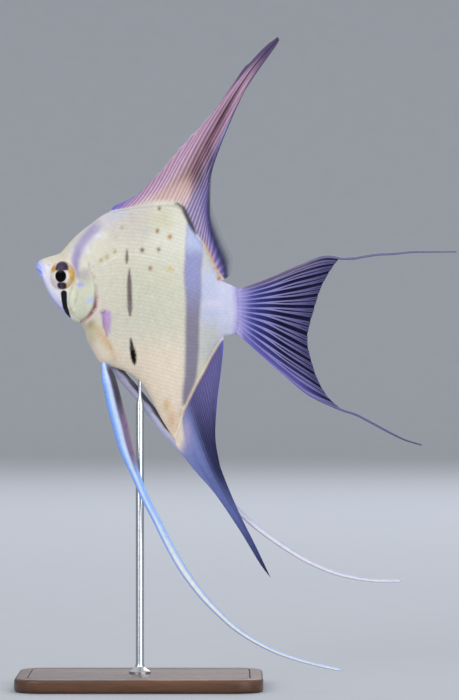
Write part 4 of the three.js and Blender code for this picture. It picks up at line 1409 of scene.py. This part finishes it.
def add_stage(settings):
    """The camera, square on to the fish's left side, the lamps and the ground."""
    scene = bpy.context.scene
    lens = bpy.data.cameras.new("camera")
    lens.sensor_width = SENSOR
    lens.lens = SENSOR * CAMERA_DISTANCE / VIEW_HEIGHT
    lens.clip_start = 0.05
    lens.clip_end = 20
    scene.camera = in_scene("camera", lens)
    scene.camera.location = (VIEW_CENTRE[0], -CAMERA_DISTANCE, VIEW_CENTRE[1])
    scene.camera.rotation_euler = (math.pi / 2, 0, 0)
    add_sweep(settings.paper_colour)
    for name, place, size, power, hex_colour in LAMPS:
        add_lamp(name, place, size, power * settings.light, hex_colour)
    world = bpy.data.worlds.new("studio")
    world.use_nodes = True
    sky = world.node_tree.nodes["Background"]
    sky.inputs["Color"].default_value = (*linear(SKY_COLOUR), 1)
    sky.inputs["Strength"].default_value = SKY_STRENGTH * settings.light
    scene.world = world
    scene.view_settings.view_transform = "Standard"


# ---------------------------------------------------------------- add-on

def colour_property(name, description, hex_colour):
    """A colour that the user can change."""
    return FloatVectorProperty(name=name, description=description, default=tuple(linear(hex_colour)),
                               size=3, min=0, max=1, subtype="COLOR")


class FishSettings(bpy.types.PropertyGroup):
    """Sizes and colours of the fish."""
    row_pitch: FloatProperty(
        name="Row height", description="Height of a row of scales on the flank", default=0.00145,
        min=0.0008, max=0.003, unit="LENGTH", precision=5)
    scale_rise: FloatProperty(
        name="Scale lift", description="How far the rim of a scale stands off the skin",
        default=0.00008, min=0.0, max=0.0005, unit="LENGTH", precision=5)
    web_opacity: FloatProperty(
        name="Web opacity", description="How much the web between the fin rays hides", default=1.0,
        min=0.2, max=1.0, subtype="FACTOR")
    flank_colour: colour_property("Flank", "Colour of the flank", "dad6c4")
    bar_colour: colour_property("Rear bar", "Colour of the broad bar in front of the tail", "817b91")


class StandSettings(bpy.types.PropertyGroup):
    """Colours of the stand and the light on the stage."""
    wood_colour: colour_property("Wood", "Paler colour of the walnut's grain", "6d4529")
    paper_colour: colour_property("Background", "Colour of the floor and the wall", "b4b8be")
    light: FloatProperty(
        name="Light", description="Strength of all the lamps", default=1.0, min=0.1, max=4.0,
        subtype="FACTOR")


class ANGELFISH_OT_stage(bpy.types.Operator):
    """Adds the camera, the lamps and the plain ground"""
    bl_idname = "angelfish.stage"
    bl_label = "Stage"

    def execute(self, context):
        add_stage(context.scene.angelfish_stand)
        return {"FINISHED"}


class ANGELFISH_OT_skin(bpy.types.Operator):
    """Adds the one skin of the head, trunk and tail stem"""
    bl_idname = "angelfish.skin"
    bl_label = "Skin"

    def execute(self, context):
        add_skin(context.scene.angelfish)
        return {"FINISHED"}


class ANGELFISH_OT_scales(bpy.types.Operator):
    """Adds the scales of both sides"""
    bl_idname = "angelfish.scales"
    bl_label = "Scales"

    def execute(self, context):
        for side, word in SIDES:
            add_scales(context.scene.angelfish, side, word)
        return {"FINISHED"}


class ANGELFISH_OT_middle_fins(bpy.types.Operator):
    """Adds the dorsal, anal and tail fins"""
    bl_idname = "angelfish.middle_fins"
    bl_label = "Dorsal, anal and tail fins"

    def execute(self, context):
        fish = context.scene.angelfish
        add_fin("dorsal_web", DORSAL_RAYS, 306, 80, dorsal_look, dorsal_sway, fish, ["dorsal_fin"],
                ragged=0.012, steps=0.075, root=(0.8, 2, 0.9))
        add_fin("anal_web", ANAL_RAYS, 320, 80, anal_look, anal_sway, fish, ["anal_fin"],
                forks=(0.1,), ragged=0.006, root=(1, 1.8, 0))
        add_fin("tail_web", TAIL_RAYS, 364, 72, tail_look, tail_sway, fish,
                ["tail_fin_upper", "tail_fin_lower"], forks=(0.2, 0.52), ragged=0.014, ray_width=0.19,
                root=(1.1, 3, 0))
        return {"FINISHED"}


class ANGELFISH_OT_streamers(bpy.types.Operator):
    """Adds the pelvic fins with their streamers, and the streamers of the tail"""
    bl_idname = "angelfish.streamers"
    bl_label = "Streamers"

    def execute(self, context):
        for side, word, route, width, look in (
            (-1, "left", LEFT_PELVIC, LEFT_WIDTH, left_pelvic_look),
            (1, "right", RIGHT_PELVIC, RIGHT_WIDTH, right_pelvic_look),
        ):
            nodes = ["pelvic_fin_" + word, "pelvic_streamer_" + word, "pelvic_streamer_tip_" + word]
            add_streamer("pelvic_ribbon_" + word, route, lambda share, x: side * pelvic_out(share),
                         width, 0.8 * MM, look, nodes)
        for word, route, look in (
            ("upper", UPPER_STREAMER, upper_streamer_look),
            ("lower", LOWER_STREAMER, lower_streamer_look),
        ):
            add_streamer("tail_ribbon_" + word, route, lambda share, x: tail_sway(x, 0),
                         TAIL_STREAMER_WIDTH, 0.6 * MM, look,
                         ["tail_streamer_" + word])
        return {"FINISHED"}


class ANGELFISH_OT_pectoral_fins(bpy.types.Operator):
    """Adds the clear pectoral fins"""
    bl_idname = "angelfish.pectoral_fins"
    bl_label = "Pectoral fins"

    def execute(self, context):
        for side, word in SIDES:
            add_pectoral(context.scene.angelfish, side, word)
        return {"FINISHED"}


class ANGELFISH_OT_eyes(bpy.types.Operator):
    """Adds both eyes"""
    bl_idname = "angelfish.eyes"
    bl_label = "Eyes"

    def execute(self, context):
        for side, word in SIDES:
            add_eye(side, word)
        return {"FINISHED"}


class ANGELFISH_OT_stand(bpy.types.Operator):
    """Adds the base and the rod"""
    bl_idname = "angelfish.stand"
    bl_label = "Stand"

    def execute(self, context):
        add_base(context.scene.angelfish_stand)
        add_rod()
        return {"FINISHED"}


OPERATORS = (
    ANGELFISH_OT_stage, ANGELFISH_OT_skin, ANGELFISH_OT_scales, ANGELFISH_OT_middle_fins,
    ANGELFISH_OT_streamers, ANGELFISH_OT_pectoral_fins, ANGELFISH_OT_eyes, ANGELFISH_OT_stand,
)


class ANGELFISH_PT_panel(bpy.types.Panel):
    """Lists the pieces of the model and their settings"""
    bl_idname = "ANGELFISH_PT_panel"
    bl_label = "Angelfish"
    bl_space_type = "VIEW_3D"
    bl_region_type = "UI"
    bl_category = "Angelfish"

    def draw(self, context):
        for settings in (context.scene.angelfish, context.scene.angelfish_stand):
            for name in settings.__annotations__:
                self.layout.prop(settings, name)
        for operator in OPERATORS:
            self.layout.operator(operator.bl_idname)


CLASSES = (FishSettings, StandSettings, *OPERATORS, ANGELFISH_PT_panel)


def register():
    """Makes the settings, the operators and the panel known."""
    for cls in CLASSES:
        bpy.utils.register_class(cls)
    bpy.types.Scene.angelfish = PointerProperty(type=FishSettings)
    bpy.types.Scene.angelfish_stand = PointerProperty(type=StandSettings)


def unregister():
    """Takes them away again."""
    del bpy.types.Scene.angelfish_stand
    del bpy.types.Scene.angelfish
    for cls in reversed(CLASSES):
        bpy.utils.unregister_class(cls)


def main():
    """Builds the stage, the fish and its stand."""
    register()
    bpy.ops.angelfish.stage()
    bpy.ops.angelfish.skin()
    bpy.ops.angelfish.scales()
    bpy.ops.angelfish.middle_fins()
    bpy.ops.angelfish.streamers()
    bpy.ops.angelfish.pectoral_fins()
    bpy.ops.angelfish.eyes()
    bpy.ops.angelfish.stand()
    bpy.context.view_layer.update()


if __name__ == "__main__":
    main()
